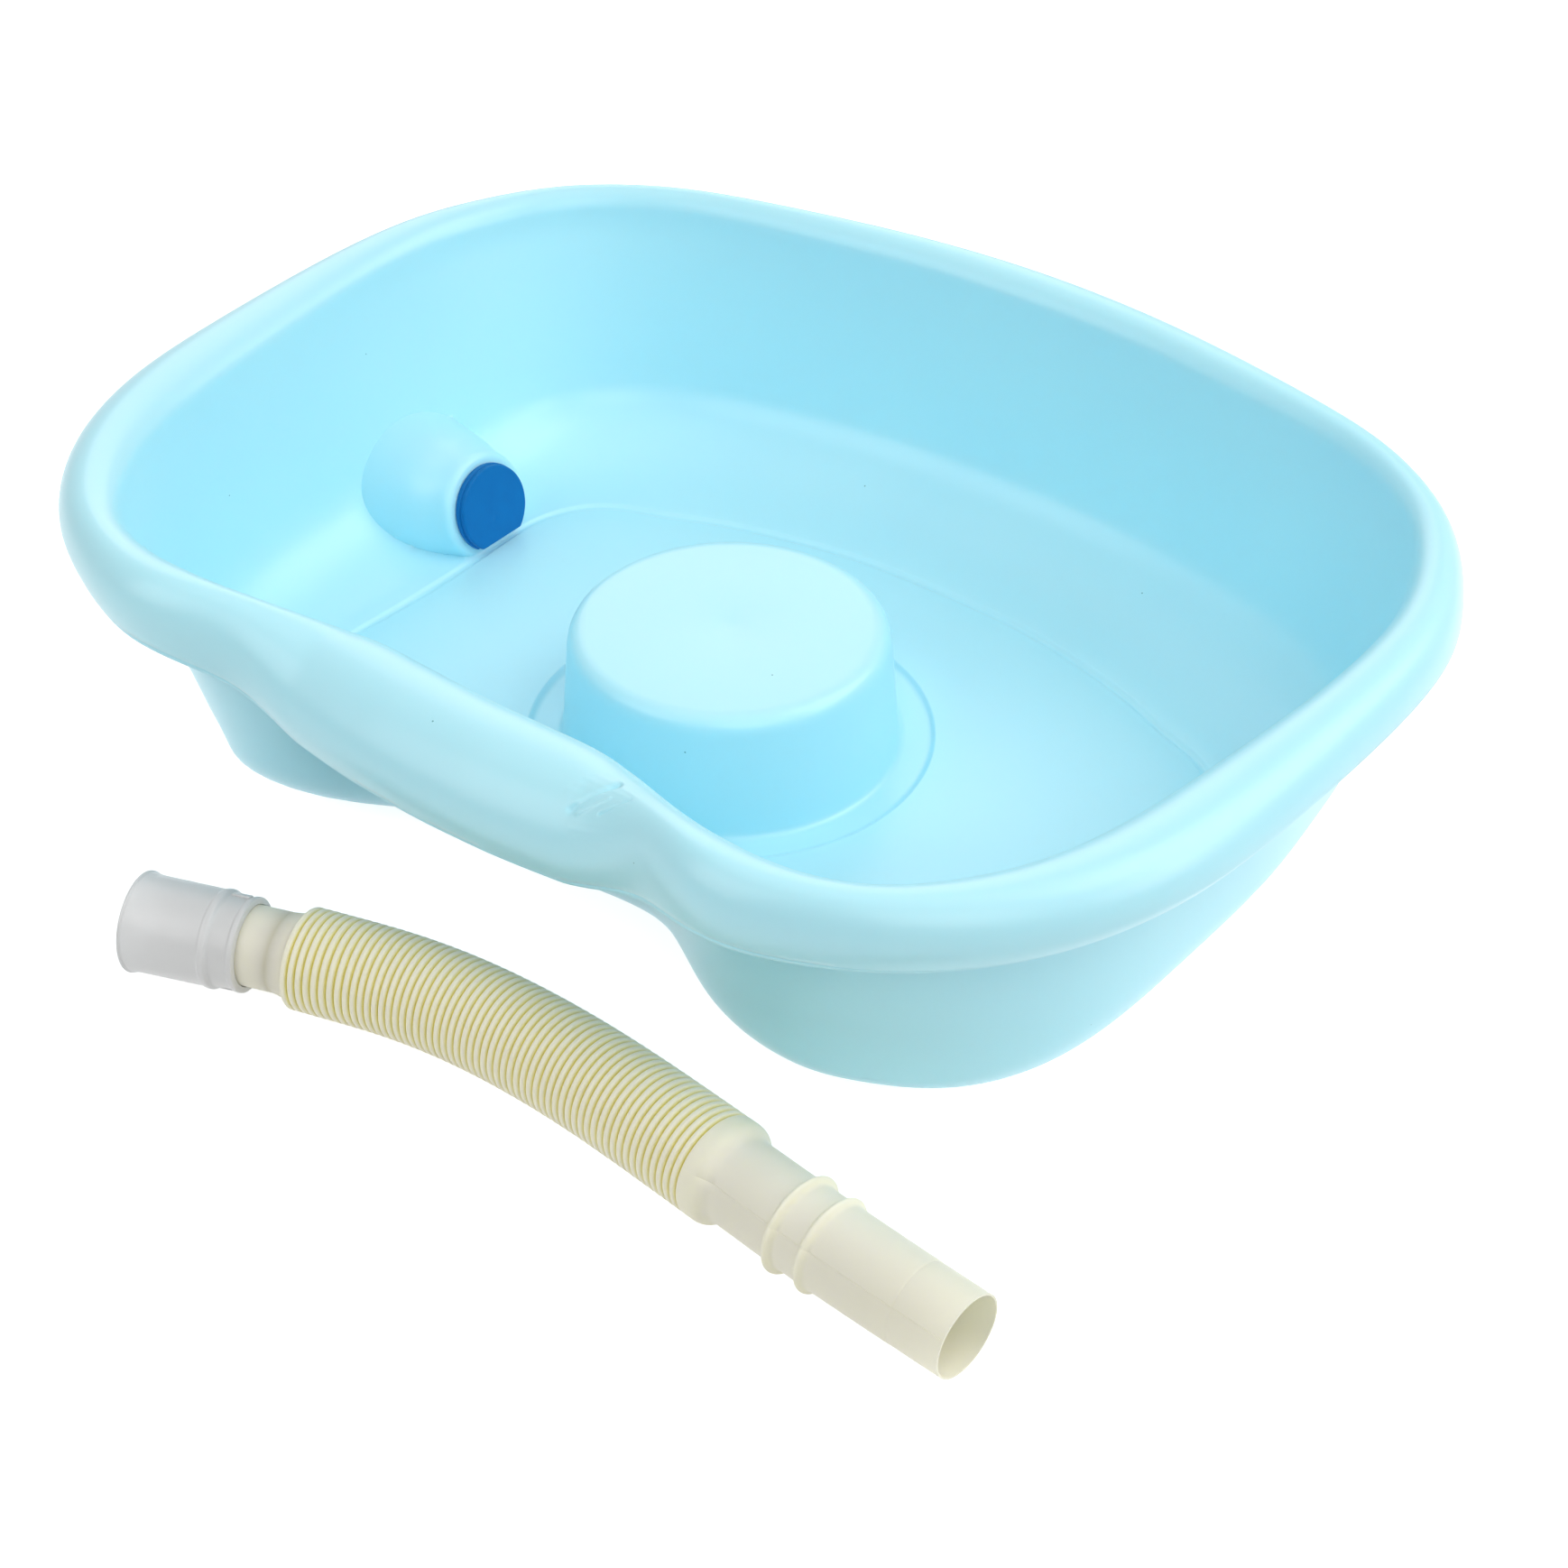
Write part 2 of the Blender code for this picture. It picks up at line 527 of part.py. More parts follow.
def tube_along(name, route, rows, full_radius):
    """A closed tube along the route, with its own radius at each of the (distance, radius) rows."""
    curve = bpy.data.curves.new(name, "CURVE")
    curve.dimensions = "3D"
    curve.bevel_depth = full_radius
    curve.bevel_resolution = 4
    curve.use_fill_caps = True
    spline = curve.splines.new("POLY")
    spline.points.add(len(rows) - 1)
    for point, (distance, radius) in zip(spline.points, rows):
        point.co = (*route.at(distance), 1)
        point.radius = radius / full_radius
    guide = bpy.data.objects.new(f"{name}_line", curve)
    bpy.context.scene.collection.objects.link(guide)
    bpy.context.view_layer.update()
    mesh = bpy.data.meshes.new_from_object(guide.evaluated_get(bpy.context.evaluated_depsgraph_get()))
    bpy.data.objects.remove(guide)
    bm = bmesh.new()
    bm.from_mesh(mesh)
    bmesh.ops.remove_doubles(bm, verts=bm.verts, dist=RUNNING_GAP / 10)
    return bm


def make_hose(route):
    """The hose: a ribbed tube with its plainer bore cut out."""
    rows = hose_profile()
    outside = tube_along("drain_hose", route, [row[:2] for row in rows], HOSE_RIB_RADIUS)
    hose = add_object("drain_hose", outside, plastic("cream polyethylene", CREAM, 0.4))
    length = rows[-1][0]
    bore_rows = [(-OVERRUN, rows[0][2])]
    spacing_count = max(2, round(length / HOSE_BORE_SPACING))
    for step in range(spacing_count + 1):
        distance = length * step / spacing_count
        radius = np.interp(distance, [row[0] for row in rows], [row[2] for row in rows])
        bore_rows.append((distance, radius))
    bore_rows.append((length + OVERRUN, rows[-1][2]))
    bore = add_object("hose_bore", tube_along("hose_bore", route, bore_rows, HOSE_RIB_RADIUS))
    combine(hose, bore, "DIFFERENCE")


def make_connector(route):
    """The connector: a flared socket for the spout at one end and a seat for the hose's cuff at the other."""
    start = route.at(0)
    axis = (route.at(HOSE_CUFF_LENGTH / 2) - start).normalized()
    turn = axis.to_track_quat("Z", "Y").to_matrix().to_4x4()
    place = Matrix.Translation(start) @ turn
    socket = DRAIN_BORE_RADIUS + SPOUT_WALL + RUNNING_GAP
    sleeve = socket + CONNECTOR_WALL
    seat = HOSE_CUFF_RADIUS + RUNNING_GAP
    collar = seat + CONNECTOR_SEAT_WALL
    throat = seat - CONNECTOR_STOP_DEPTH
    stop_end = -RUNNING_GAP
    stop_start = stop_end - CONNECTOR_STOP_LENGTH
    mouth = stop_start - CONNECTOR_SOCKET_DEPTH
    end = CONNECTOR_SEAT_DEPTH
    flange = mouth + CONNECTOR_FLANGE_LENGTH
    ridge_radius = sleeve + CONNECTOR_RIDGE_HEIGHT
    step = stop_end + CONNECTOR_STEP_LENGTH
    ridge = step - CONNECTOR_RIDGE_LENGTH
    last = end - CONNECTOR_RIDGE_LENGTH
    last_radius = collar + CONNECTOR_RIDGE_HEIGHT
    profile = [
        (socket, mouth),
        (CONNECTOR_FLANGE_RADIUS, mouth),
        (CONNECTOR_FLANGE_RADIUS, flange),
        (sleeve, flange + CONNECTOR_FLARE_LENGTH),
        (sleeve, ridge),
        (ridge_radius, ridge),
        (ridge_radius, step),
        (collar, step),
        (collar, last),
        (last_radius, last),
        (last_radius, end),
        (seat, end),
        (seat, stop_end),
        (throat, stop_end),
        (throat, stop_start),
        (socket, stop_start),
    ]
    material = plastic("milky polypropylene", MILKY_WHITE, 0.35, MILKY_CLEARNESS)
    turned("hose_connector", profile, place, material, closed=True)


clear_scene()
drain = make_basin()
make_stopper(drain)
hose_route = Route(HOSE_ROUTE)
make_hose(hose_route)
make_connector(hose_route)
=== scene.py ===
import math

import bmesh
import bpy
import numpy as np
from mathutils import Matrix, Vector


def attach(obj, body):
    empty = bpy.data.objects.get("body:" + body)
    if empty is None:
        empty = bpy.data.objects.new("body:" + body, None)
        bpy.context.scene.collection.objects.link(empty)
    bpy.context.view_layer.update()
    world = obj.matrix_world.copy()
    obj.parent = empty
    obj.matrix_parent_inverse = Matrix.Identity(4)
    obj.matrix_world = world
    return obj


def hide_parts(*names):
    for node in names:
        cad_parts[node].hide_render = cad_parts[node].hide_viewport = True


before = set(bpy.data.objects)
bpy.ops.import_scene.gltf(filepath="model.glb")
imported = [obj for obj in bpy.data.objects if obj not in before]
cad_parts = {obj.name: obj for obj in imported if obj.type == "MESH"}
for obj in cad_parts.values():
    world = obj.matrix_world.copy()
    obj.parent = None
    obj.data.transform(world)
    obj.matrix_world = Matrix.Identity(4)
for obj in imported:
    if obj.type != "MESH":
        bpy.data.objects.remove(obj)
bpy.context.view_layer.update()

scene = bpy.context.scene

# Camera. A product shot taken from above the right front corner, at the angle that the outlines of the
# basin's rim and floor gave.
CAMERA_PLACE = (0.6535, -0.8257, 0.7856)
CAMERA_AZIMUTH = math.radians(37.88)
CAMERA_ELEVATION = math.radians(38.20)
CAMERA_LENS = 64.66

camera_data = bpy.data.cameras.new("product_camera")
camera_data.lens = CAMERA_LENS
camera_data.clip_start = 0.01
camera = bpy.data.objects.new("product_camera", camera_data)
camera.location = CAMERA_PLACE
camera.rotation_euler = (math.pi / 2 - CAMERA_ELEVATION, 0, CAMERA_AZIMUTH)
scene.collection.objects.link(camera)
scene.camera = camera

# Drain hose. A blow-moulded polyethylene tube with fine ribs, so that it bends; its two ends are plain cuffs,
# the far one with two beads that seal it in a waste pipe. It lies loose on the floor in front of the basin.
HOSE_WALL = 0.0014
CUFF_RADIUS = 0.017
CUFF_LENGTH = 0.0375
RIB_RADIUS = 0.0216
GROOVE_RADIUS = 0.0199
RIB_PITCH = 0.003575
RIB_COUNT = 58
RIB_LEAD = 0.0012
RIB_END_RISE = 0.0007
RIB_END_ROUND = 0.0006
GROOVE_ROUND = 0.0003
LAND_LENGTH = 0.007
LAND_ROUND = 0.003
SHOULDER_LENGTH = 0.004
SHOULDER_ROUND = 0.0025
END_CUFF_LENGTH = 0.0295
END_CUFF_RADIUS = 0.0178
BEAD_RADII = (0.0206, 0.0199)
BEAD_LENGTH = 0.004
BEAD_SPACING = 0.015
BEAD_RISE = 0.0012
BEAD_ROUND = 0.0014
BEAD_FOOT_ROUNDS = (0.0008, 0.0012)
SPIGOT_LENGTH = 0.0617
SPIGOT_END_RADIUS = 0.0172
SPIGOT_END_WALL = 0.0008
BORE_ROUND = 0.002
# A fine step runs round the spigot, this far from its end.
SPIGOT_LINE = 0.023
SPIGOT_LINE_HALF_WIDTH = 0.0006
SPIGOT_LINE_DEPTHS = (0.00025, 0.0001)
SPIGOT_LINE_ROUND = 0.0003
# The longest faces along the bore and along the plain ends.
BORE_FACE_LENGTH = 0.012
OUTER_FACE_LENGTH = 0.008
HOSE_STEPS = 72
SEAM_COLUMNS = (29, 65)
SEAM_HALF_ANGLE = math.radians(1.0)
SEAM_DEPTH = 0.00022
SEAM_LEAD = 0.002
HOSE_LENGTH = 0.3668
HOSE_ROUTE = (
    (-0.0600, -0.2815, 0.0218), (-0.0421, -0.2747, 0.0217), (-0.0224, -0.2684, 0.0217),
    (-0.0057, -0.2636, 0.0219), (0.0093, -0.2594, 0.0219), (0.0393, -0.2535, 0.0219),
    (0.0743, -0.2507, 0.0219), (0.1123, -0.2512, 0.0219), (0.1503, -0.2542, 0.0219),
    (0.1812, -0.2574, 0.0219), (0.2021, -0.2597, 0.0219), (0.2229, -0.2620, 0.0219),
    (0.2446, -0.2639, 0.0219), (0.2698, -0.2658, 0.0219), (0.2973, -0.2676, 0.0219),
)
ROUTE_FINENESS = 20
# One rib: how far along its pitch, then how far up from the groove, both as shares.
RIB_SHARES = (
    (0.08, 0.05), (0.15, 0.55), (0.21, 0.86), (0.29, 0.98), (0.42, 1.0),
    (0.58, 1.0), (0.71, 0.98), (0.79, 0.86), (0.85, 0.55), (0.92, 0.05),
)
# The most of an edge that the rounding at its end may take, and the distance within which points are one.
ROUNDING_SHARE = 0.49
SAME_PLACE = 1e-6


def smooth_line(points):
    """The smooth line through a route's points, as many near points and their distances from the start."""
    knots = np.array(points)
    gaps = np.linalg.norm(np.diff(knots, axis=0), axis=1)
    marks = np.concatenate(([0], np.cumsum(gaps)))
    system = np.eye(len(knots))
    target = np.zeros_like(knots)
    for i in range(1, len(knots) - 1):
        before, after = gaps[i - 1], gaps[i]
        system[i, i - 1 : i + 2] = before / 6, (before + after) / 3, after / 6
        target[i] = (knots[i + 1] - knots[i]) / after - (knots[i] - knots[i - 1]) / before
    bends = np.linalg.solve(system, target)
    fine = np.linspace(0, marks[-1], ROUTE_FINENESS * len(knots))
    cells = np.clip(np.searchsorted(marks, fine, side="right") - 1, 0, len(gaps) - 1)
    width = gaps[cells][:, None]
    t = (fine - marks[cells])[:, None] / width
    line = (1 - t) * knots[cells] + t * knots[cells + 1]
    bent = ((1 - t) ** 3 - (1 - t)) * bends[cells] * width**2 / 6
    line += bent + (t**3 - t) * bends[cells + 1] * width**2 / 6
    return line, np.concatenate(([0], np.cumsum(np.linalg.norm(np.diff(line, axis=0), axis=1))))


def rounded(corners, steps=4, closed=False):
    """A profile with eased corners. Each corner is (radius, height) and how far its rounding reaches."""
    found = []
    count = len(corners)
    for i, (radius, height, reach) in enumerate(corners):
        here = Vector((radius, height))
        if not reach or (not closed and i in (0, count - 1)):
            found.append(here)
            continue
        ends = []
        for other in (corners[i - 1], corners[(i + 1) % count]):
            away = Vector(other[:2]) - here
            ends.append(here + away.normalized() * min(reach, away.length * ROUNDING_SHARE))
        for step in range(steps + 1):
            t = step / steps
            found.append(ends[0] * (1 - t) ** 2 + here * 2 * t * (1 - t) + ends[1] * t**2)
    return found


def turned(profile, steps, closed=False):
    """A round shape: the profile of (radius, height) spun about the upright axis."""
    bm = bmesh.new()
    verts = [bm.verts.new((radius, 0, height)) for radius, height in profile]
    edges = [bm.edges.new(pair) for pair in zip(verts, verts[1:])]
    if closed:
        edges.append(bm.edges.new((verts[-1], verts[0])))
    bmesh.ops.spin(
        bm, geom=verts + edges, cent=(0, 0, 0), axis=(0, 0, 1), angle=math.tau, steps=steps, use_merge=True
    )
    bmesh.ops.remove_doubles(bm, verts=bm.verts, dist=SAME_PLACE)
    bmesh.ops.recalc_face_normals(bm, faces=bm.faces)
    return bm


def finished(name, bm, body, node, sharp=40):
    """Makes the mesh a piece of the scene that rides on a body and stands for a CAD node."""
    mesh = bpy.data.meshes.new(name)
    bm.to_mesh(mesh)
    bm.free()
    mesh.shade_smooth()
    mesh.set_sharp_from_angle(angle=math.radians(sharp))
    piece = bpy.data.objects.new(name, mesh)
    scene.collection.objects.link(piece)
    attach(piece, body)
    if node:
        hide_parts(node)
    return piece


def linear(colour):
    """A hex sRGB colour as the linear numbers that a shader takes."""
    parts = [int(colour[i : i + 2], 16) / 255 for i in (1, 3, 5)]
    return [p / 12.92 if p <= 0.04045 else ((p + 0.055) / 1.055) ** 2.4 for p in parts] + [1]


def add_node(material, kind, links=(), **settings):
    """Adds a node with its settings: an input's name gives its value, any other name is an attribute."""
    node = material.node_tree.nodes.new(kind)
    for name, value in settings.items():
        if hasattr(node, name):
            setattr(node, name, value)
    for name, value in settings.items():
        if not hasattr(node, name):
            node.inputs[name.replace("_", " ")].default_value = value
    for socket, source in links:
        material.node_tree.links.new(source, node.inputs[socket])
    return node


hose_line, hose_marks = smooth_line(HOSE_ROUTE)


def along_hose(distances):
    """The hose's line at each distance, with the directions across, up and onwards; straight past its ends."""
    distances = np.asarray(distances, float)
    start = (hose_line[1] - hose_line[0]) / (hose_marks[1] - hose_marks[0])
    end = (hose_line[-1] - hose_line[-2]) / (hose_marks[-1] - hose_marks[-2])
    reach = np.clip(distances, 0, hose_marks[-1])
    place = np.stack([np.interp(reach, hose_marks, hose_line[:, axis]) for axis in range(3)], 1)
    before, after = np.minimum(distances, 0), np.maximum(distances - hose_marks[-1], 0)
    place += before[:, None] * start + after[:, None] * end
    slopes = np.gradient(hose_line, hose_marks, axis=0)
    onwards = np.stack([np.interp(reach, hose_marks, slopes[:, axis]) for axis in range(3)], 1)
    onwards /= np.linalg.norm(onwards, axis=1)[:, None]
    across = np.cross((0, 0, 1), onwards)
    across /= np.linalg.norm(across, axis=1)[:, None]
    return place, across, np.cross(onwards, across), onwards


ribs_start = CUFF_LENGTH - RIB_PITCH / 2
ribs_end = ribs_start + RIB_COUNT * RIB_PITCH
land_end = ribs_end + RIB_PITCH / 2 + LAND_LENGTH
cuff_start = land_end + SHOULDER_LENGTH
outside = [Vector((CUFF_RADIUS, 0)), Vector((CUFF_RADIUS, ribs_start - RIB_LEAD))]
for rib in range(RIB_COUNT):
    for share, height in RIB_SHARES:
        radius = GROOVE_RADIUS + (RIB_RADIUS - GROOVE_RADIUS) * height
        outside.append(Vector((radius, ribs_start + (rib + share) * RIB_PITCH)))
tail = [(GROOVE_RADIUS, ribs_end, GROOVE_ROUND), (RIB_RADIUS, ribs_end + RIB_END_RISE, RIB_END_ROUND)]
tail += [(RIB_RADIUS, land_end, LAND_ROUND), (END_CUFF_RADIUS, cuff_start, SHOULDER_ROUND)]
for number, bead_radius in enumerate(BEAD_RADII):
    bead = cuff_start + END_CUFF_LENGTH + number * BEAD_SPACING
    tail += [
        (END_CUFF_RADIUS, bead, BEAD_FOOT_ROUNDS[0]),
        (bead_radius, bead + BEAD_RISE, BEAD_ROUND),
        (bead_radius, bead + BEAD_LENGTH - BEAD_ROUND, BEAD_ROUND),
        (END_CUFF_RADIUS, bead + BEAD_LENGTH, BEAD_FOOT_ROUNDS[1]),
    ]
spigot_start = bead + BEAD_LENGTH
hose_end = spigot_start + SPIGOT_LENGTH
line_place = hose_end - SPIGOT_LINE
line_share = (line_place - spigot_start) / SPIGOT_LENGTH
line_radius = END_CUFF_RADIUS + (SPIGOT_END_RADIUS - END_CUFF_RADIUS) * line_share
tail += [
    (line_radius, line_place - SPIGOT_LINE_HALF_WIDTH, SPIGOT_LINE_ROUND),
    (line_radius - SPIGOT_LINE_DEPTHS[0], line_place, SPIGOT_LINE_ROUND),
    (line_radius - SPIGOT_LINE_DEPTHS[1], line_place + SPIGOT_LINE_HALF_WIDTH, SPIGOT_LINE_ROUND),
    (SPIGOT_END_RADIUS, hose_end, 0),
]
bore = [
    (SPIGOT_END_RADIUS - SPIGOT_END_WALL, hose_end, 0),
    (END_CUFF_RADIUS - HOSE_WALL, spigot_start, BORE_ROUND),
    (END_CUFF_RADIUS - HOSE_WALL, cuff_start, BORE_ROUND),
    (GROOVE_RADIUS - HOSE_WALL, land_end, LAND_ROUND),
    (GROOVE_RADIUS - HOSE_WALL, ribs_start, BORE_ROUND),
    (CUFF_RADIUS - HOSE_WALL, CUFF_LENGTH / 2, BORE_ROUND),
    (CUFF_RADIUS - HOSE_WALL, 0, 0),
]
inner = []
for start, end in zip(rounded(bore), rounded(bore)[1:]):
    pieces = max(1, round((end - start).length / BORE_FACE_LENGTH))
    inner += [start.lerp(end, i / pieces) for i in range(pieces)]
inner.append(Vector(bore[-1][:2]))
outer = outside + rounded(tail)
for i in range(len(outer) - 1, 0, -1):
    pieces = round((outer[i] - outer[i - 1]).length / OUTER_FACE_LENGTH)
    for step in range(1, pieces):
        outer.insert(i, outer[i].lerp(outer[i - 1], step / pieces))
hose_bm = turned(outer + inner, HOSE_STEPS, closed=True)
# How deep each point of the ribbed part lies in its groove; the material paints shade into the grooves with
# it.
groove = hose_bm.verts.layers.float.new("groove")
for vert in hose_bm.verts:
    radius = math.hypot(vert.co.x, vert.co.y)
    ribbed = ribs_start - RIB_PITCH / 2 < vert.co.z < ribs_end + RIB_PITCH / 4
    if ribbed and radius > GROOVE_RADIUS - HOSE_WALL / 2:
        vert[groove] = (RIB_RADIUS - radius) / (RIB_RADIUS - GROOVE_RADIUS)
# The two halves of the mould met in a fine groove along both sides of the plain end.
for vert in hose_bm.verts:
    radius = math.hypot(vert.co.x, vert.co.y)
    column = math.atan2(vert.co.y, vert.co.x) / math.tau * HOSE_STEPS
    plain = vert.co.z > land_end - SEAM_LEAD and radius > SPIGOT_END_RADIUS - SPIGOT_END_WALL / 2
    for seam in SEAM_COLUMNS:
        away = round((column - seam + HOSE_STEPS / 2) % HOSE_STEPS - HOSE_STEPS / 2)
        if plain and abs(away) < 2:
            angle = seam * math.tau / HOSE_STEPS + away * SEAM_HALF_ANGLE
            radius -= SEAM_DEPTH * (away == 0)
            vert.co.xy = radius * math.cos(angle), radius * math.sin(angle)
place, across, upwards, onwards = along_hose([vert.co.z for vert in hose_bm.verts])
for vert, p, a, u in zip(hose_bm.verts, place, across, upwards):
    vert.co = Vector(p + a * vert.co.x + u * vert.co.y)
hose = finished("ribbed_drain_hose", hose_bm, "hose", "drain_hose")

# Natural polyethylene that has been blown into a mould: a waxy cream, and light that enters it spreads before
# it comes out. Its clouds are about 35 mm across. Deep in the grooves it is painted darker and yellower:
# painted shade.
hose_plastic = bpy.data.materials.new("blow_moulded_polyethylene")
hose_plastic.use_nodes = True
shader = hose_plastic.node_tree.nodes["Principled BSDF"]
shader.inputs["Roughness"].default_value = 0.5
shader.inputs["IOR"].default_value = 1.51
shader.inputs["Subsurface Weight"].default_value = 0.45
shader.inputs["Subsurface Radius"].default_value = (0.008, 0.008, 0.005)
shader.inputs["Subsurface Scale"].default_value = 1
depth = add_node(hose_plastic, "ShaderNodeAttribute", attribute_name="groove")
place_on = add_node(hose_plastic, "ShaderNodeTexCoord")
cloud = add_node(
    hose_plastic, "ShaderNodeTexNoise", [("Vector", place_on.outputs["Object"])],
    Scale=28, Detail=3, Roughness=0.5,
)
cream = add_node(hose_plastic, "ShaderNodeMix", [(0, cloud.outputs["Fac"])], data_type="RGBA")
cream.inputs[6].default_value = linear("#FAF6DC")
cream.inputs[7].default_value = linear("#F5F1D2")
# Painted shade: the colour turns darker and yellower the deeper a point lies in a groove.
groove_painted_shade = add_node(
    hose_plastic, "ShaderNodeMix", [(0, depth.outputs["Fac"]), (6, cream.outputs[2])], data_type="RGBA"
)
groove_painted_shade.inputs[7].default_value = linear("#F0E582")
hose_plastic.node_tree.links.new(groove_painted_shade.outputs[2], shader.inputs["Base Color"])
hose.data.materials.append(hose_plastic)

# Connector. One injection moulding in milky polypropylene: a flared socket that pushes over the basin's spout,
# a shoulder inside it as a stop, and a short collar that holds the hose's cuff between two beads.
SOCKET_RADIUS = 0.0183
SLEEVE_RADIUS = 0.0204
SOCKET_DEPTH = 0.030
STOP_LENGTH = 0.0077
SEAT_RADIUS = 0.0173
COLLAR_RADIUS = 0.0192
COLLAR_LENGTH = 0.0127
COLLAR_BEAD_RADIUS = 0.0201
FLANGE_RADIUS = 0.0216
FLANGE_THICKNESS = 0.0011
FLANGE_STEPS = (0.0006, 0.0007)
FLANGE_STEP_PLACES = (0.0016, 0.0026)
FLARE_LENGTH = 0.0050
FLARE_ROUND = 0.002
MOULD_TAPER = 0.0002
SLEEVE_BEAD_HEIGHT = 0.0006
SLEEVE_BEAD_PLACES = (-0.0031, -0.0025, -0.0001, 0.0013)
COLLAR_BEAD_PLACES = (0.0035, 0.0027, 0.0005)
STOP_HEIGHT = 0.0018
FIT_GAP = 0.0003
# How far the roundings of the connector's edges reach, from the sharpest to the softest.
SHARP_ROUND = 0.0002
CRISP_ROUND = 0.0003
EDGE_ROUND = 0.0004
BEAD_EDGE_ROUND = 0.0006
COLLAR_BEAD_ROUND = 0.0007
SOFT_ROUND = 0.0008
CONNECTOR_STEPS = 96
LUG_SIZE = (0.0014, 0.0042, 0.0082)
LUG_PLACE = 0.0052
LUG_ANGLES = (60, 240)

mouth = -FIT_GAP - STOP_LENGTH - SOCKET_DEPTH
stop = -FIT_GAP - STOP_LENGTH
connector_profile = rounded([
    (SOCKET_RADIUS, mouth, EDGE_ROUND),
    (FLANGE_RADIUS, mouth, EDGE_ROUND),
    (FLANGE_RADIUS, mouth + FLANGE_THICKNESS, EDGE_ROUND),
    (FLANGE_RADIUS - FLANGE_STEPS[0], mouth + FLANGE_STEP_PLACES[0], EDGE_ROUND),
    (FLANGE_RADIUS - FLANGE_STEPS[1], mouth + FLANGE_STEP_PLACES[1], BEAD_EDGE_ROUND),
    (SLEEVE_RADIUS + MOULD_TAPER, mouth + FLARE_LENGTH, FLARE_ROUND),
    (SLEEVE_RADIUS, SLEEVE_BEAD_PLACES[0], BEAD_EDGE_ROUND),
    (SLEEVE_RADIUS + SLEEVE_BEAD_HEIGHT, SLEEVE_BEAD_PLACES[1], BEAD_EDGE_ROUND),
    (SLEEVE_RADIUS + SLEEVE_BEAD_HEIGHT, SLEEVE_BEAD_PLACES[2], SOFT_ROUND),
    (COLLAR_RADIUS + MOULD_TAPER, SLEEVE_BEAD_PLACES[3], SOFT_ROUND),
    (COLLAR_RADIUS, COLLAR_LENGTH - COLLAR_BEAD_PLACES[0], BEAD_EDGE_ROUND),
    (COLLAR_BEAD_RADIUS, COLLAR_LENGTH - COLLAR_BEAD_PLACES[1], COLLAR_BEAD_ROUND),
    (COLLAR_BEAD_RADIUS, COLLAR_LENGTH - COLLAR_BEAD_PLACES[2], COLLAR_BEAD_ROUND),
    (SEAT_RADIUS, COLLAR_LENGTH, CRISP_ROUND),
    (SEAT_RADIUS, -FIT_GAP, SHARP_ROUND),
    (SEAT_RADIUS - STOP_HEIGHT, -FIT_GAP, EDGE_ROUND),
    (SEAT_RADIUS - STOP_HEIGHT, stop, EDGE_ROUND),
    (SOCKET_RADIUS, stop, CRISP_ROUND),
], closed=True)
connector_bm = turned(connector_profile, CONNECTOR_STEPS, closed=True)
# Two small lugs join the beads, on opposite sides.
for angle in LUG_ANGLES:
    spoke = Matrix.Rotation(math.radians(angle), 4, "Z")
    lug = bmesh.ops.create_cube(connector_bm, size=1)["verts"]
    bmesh.ops.scale(connector_bm, vec=LUG_SIZE, verts=lug)
    bmesh.ops.translate(connector_bm, vec=(COLLAR_BEAD_RADIUS - LUG_SIZE[0] / 2, 0, LUG_PLACE), verts=lug)
    bmesh.ops.transform(connector_bm, matrix=spoke, verts=lug)
    edges = [edge for edge in connector_bm.edges if edge.verts[0] in lug]
    bmesh.ops.bevel(
        connector_bm, geom=edges, offset=EDGE_ROUND, segments=3, profile=0.5, affect="EDGES", material=-1
    )
origin, cuff_end = along_hose([0, CUFF_LENGTH / 2])[0]
connector_axis = Vector(cuff_end - origin).normalized()
connector_turn = connector_axis.to_track_quat("Z", "Y").to_matrix().to_4x4()
connector_frame = Matrix.Translation(origin) @ connector_turn
bmesh.ops.transform(connector_bm, matrix=connector_frame, verts=connector_bm.verts)
connector = finished("socket_connector", connector_bm, "connector", "hose_connector")

# Natural polypropylene, injection-moulded: milky, with a soft gloss, and thin enough to let the cuff inside
# show. Its surface waves a little, about every 6 mm.
connector_plastic = bpy.data.materials.new("natural_polypropylene")
connector_plastic.use_nodes = True
shader = connector_plastic.node_tree.nodes["Principled BSDF"]
shader.inputs["Base Color"].default_value = linear("#E9EAEA")
shader.inputs["Roughness"].default_value = 0.32
shader.inputs["IOR"].default_value = 1.49
shader.inputs["Transmission Weight"].default_value = 0.25
shader.inputs["Subsurface Weight"].default_value = 0.3
shader.inputs["Subsurface Radius"].default_value = (0.004, 0.004, 0.004)
shader.inputs["Subsurface Scale"].default_value = 1
place_on = add_node(connector_plastic, "ShaderNodeTexCoord")
haze = add_node(
    connector_plastic, "ShaderNodeTexNoise", [("Vector", place_on.outputs["Object"])],
    Scale=160, Detail=4, Roughness=0.6,
)
bumps = add_node(
    connector_plastic, "ShaderNodeBump", [("Height", haze.outputs["Fac"])], Strength=0.12, Distance=0.0006
)
connector_plastic.node_tree.links.new(bumps.outputs["Normal"], shader.inputs["Normal"])
connector.data.materials.append(connector_plastic)

# The hose's path, as points along its line; its connector is on it, and it leaves the connector's stop.
HOSE_PATH_POINTS = 60
hose_path = along_hose(np.linspace(0, HOSE_LENGTH, HOSE_PATH_POINTS))[0]

# Basin. One injection moulding in aqua polyethylene with the same thin wall all over: a rolled rim with a low
# saddle for the neck, a raised rest for the head, and a hollow boss in one end wall, whose spout takes the
# hose. The mould's split line runs round the lip, and the plastic has folded a little beside the saddle.
BASIN_LENGTH = 0.600
BASIN_WIDTH = 0.465
BASIN_HEIGHT = 0.134
WALL = 0.003
STATIONS = 400
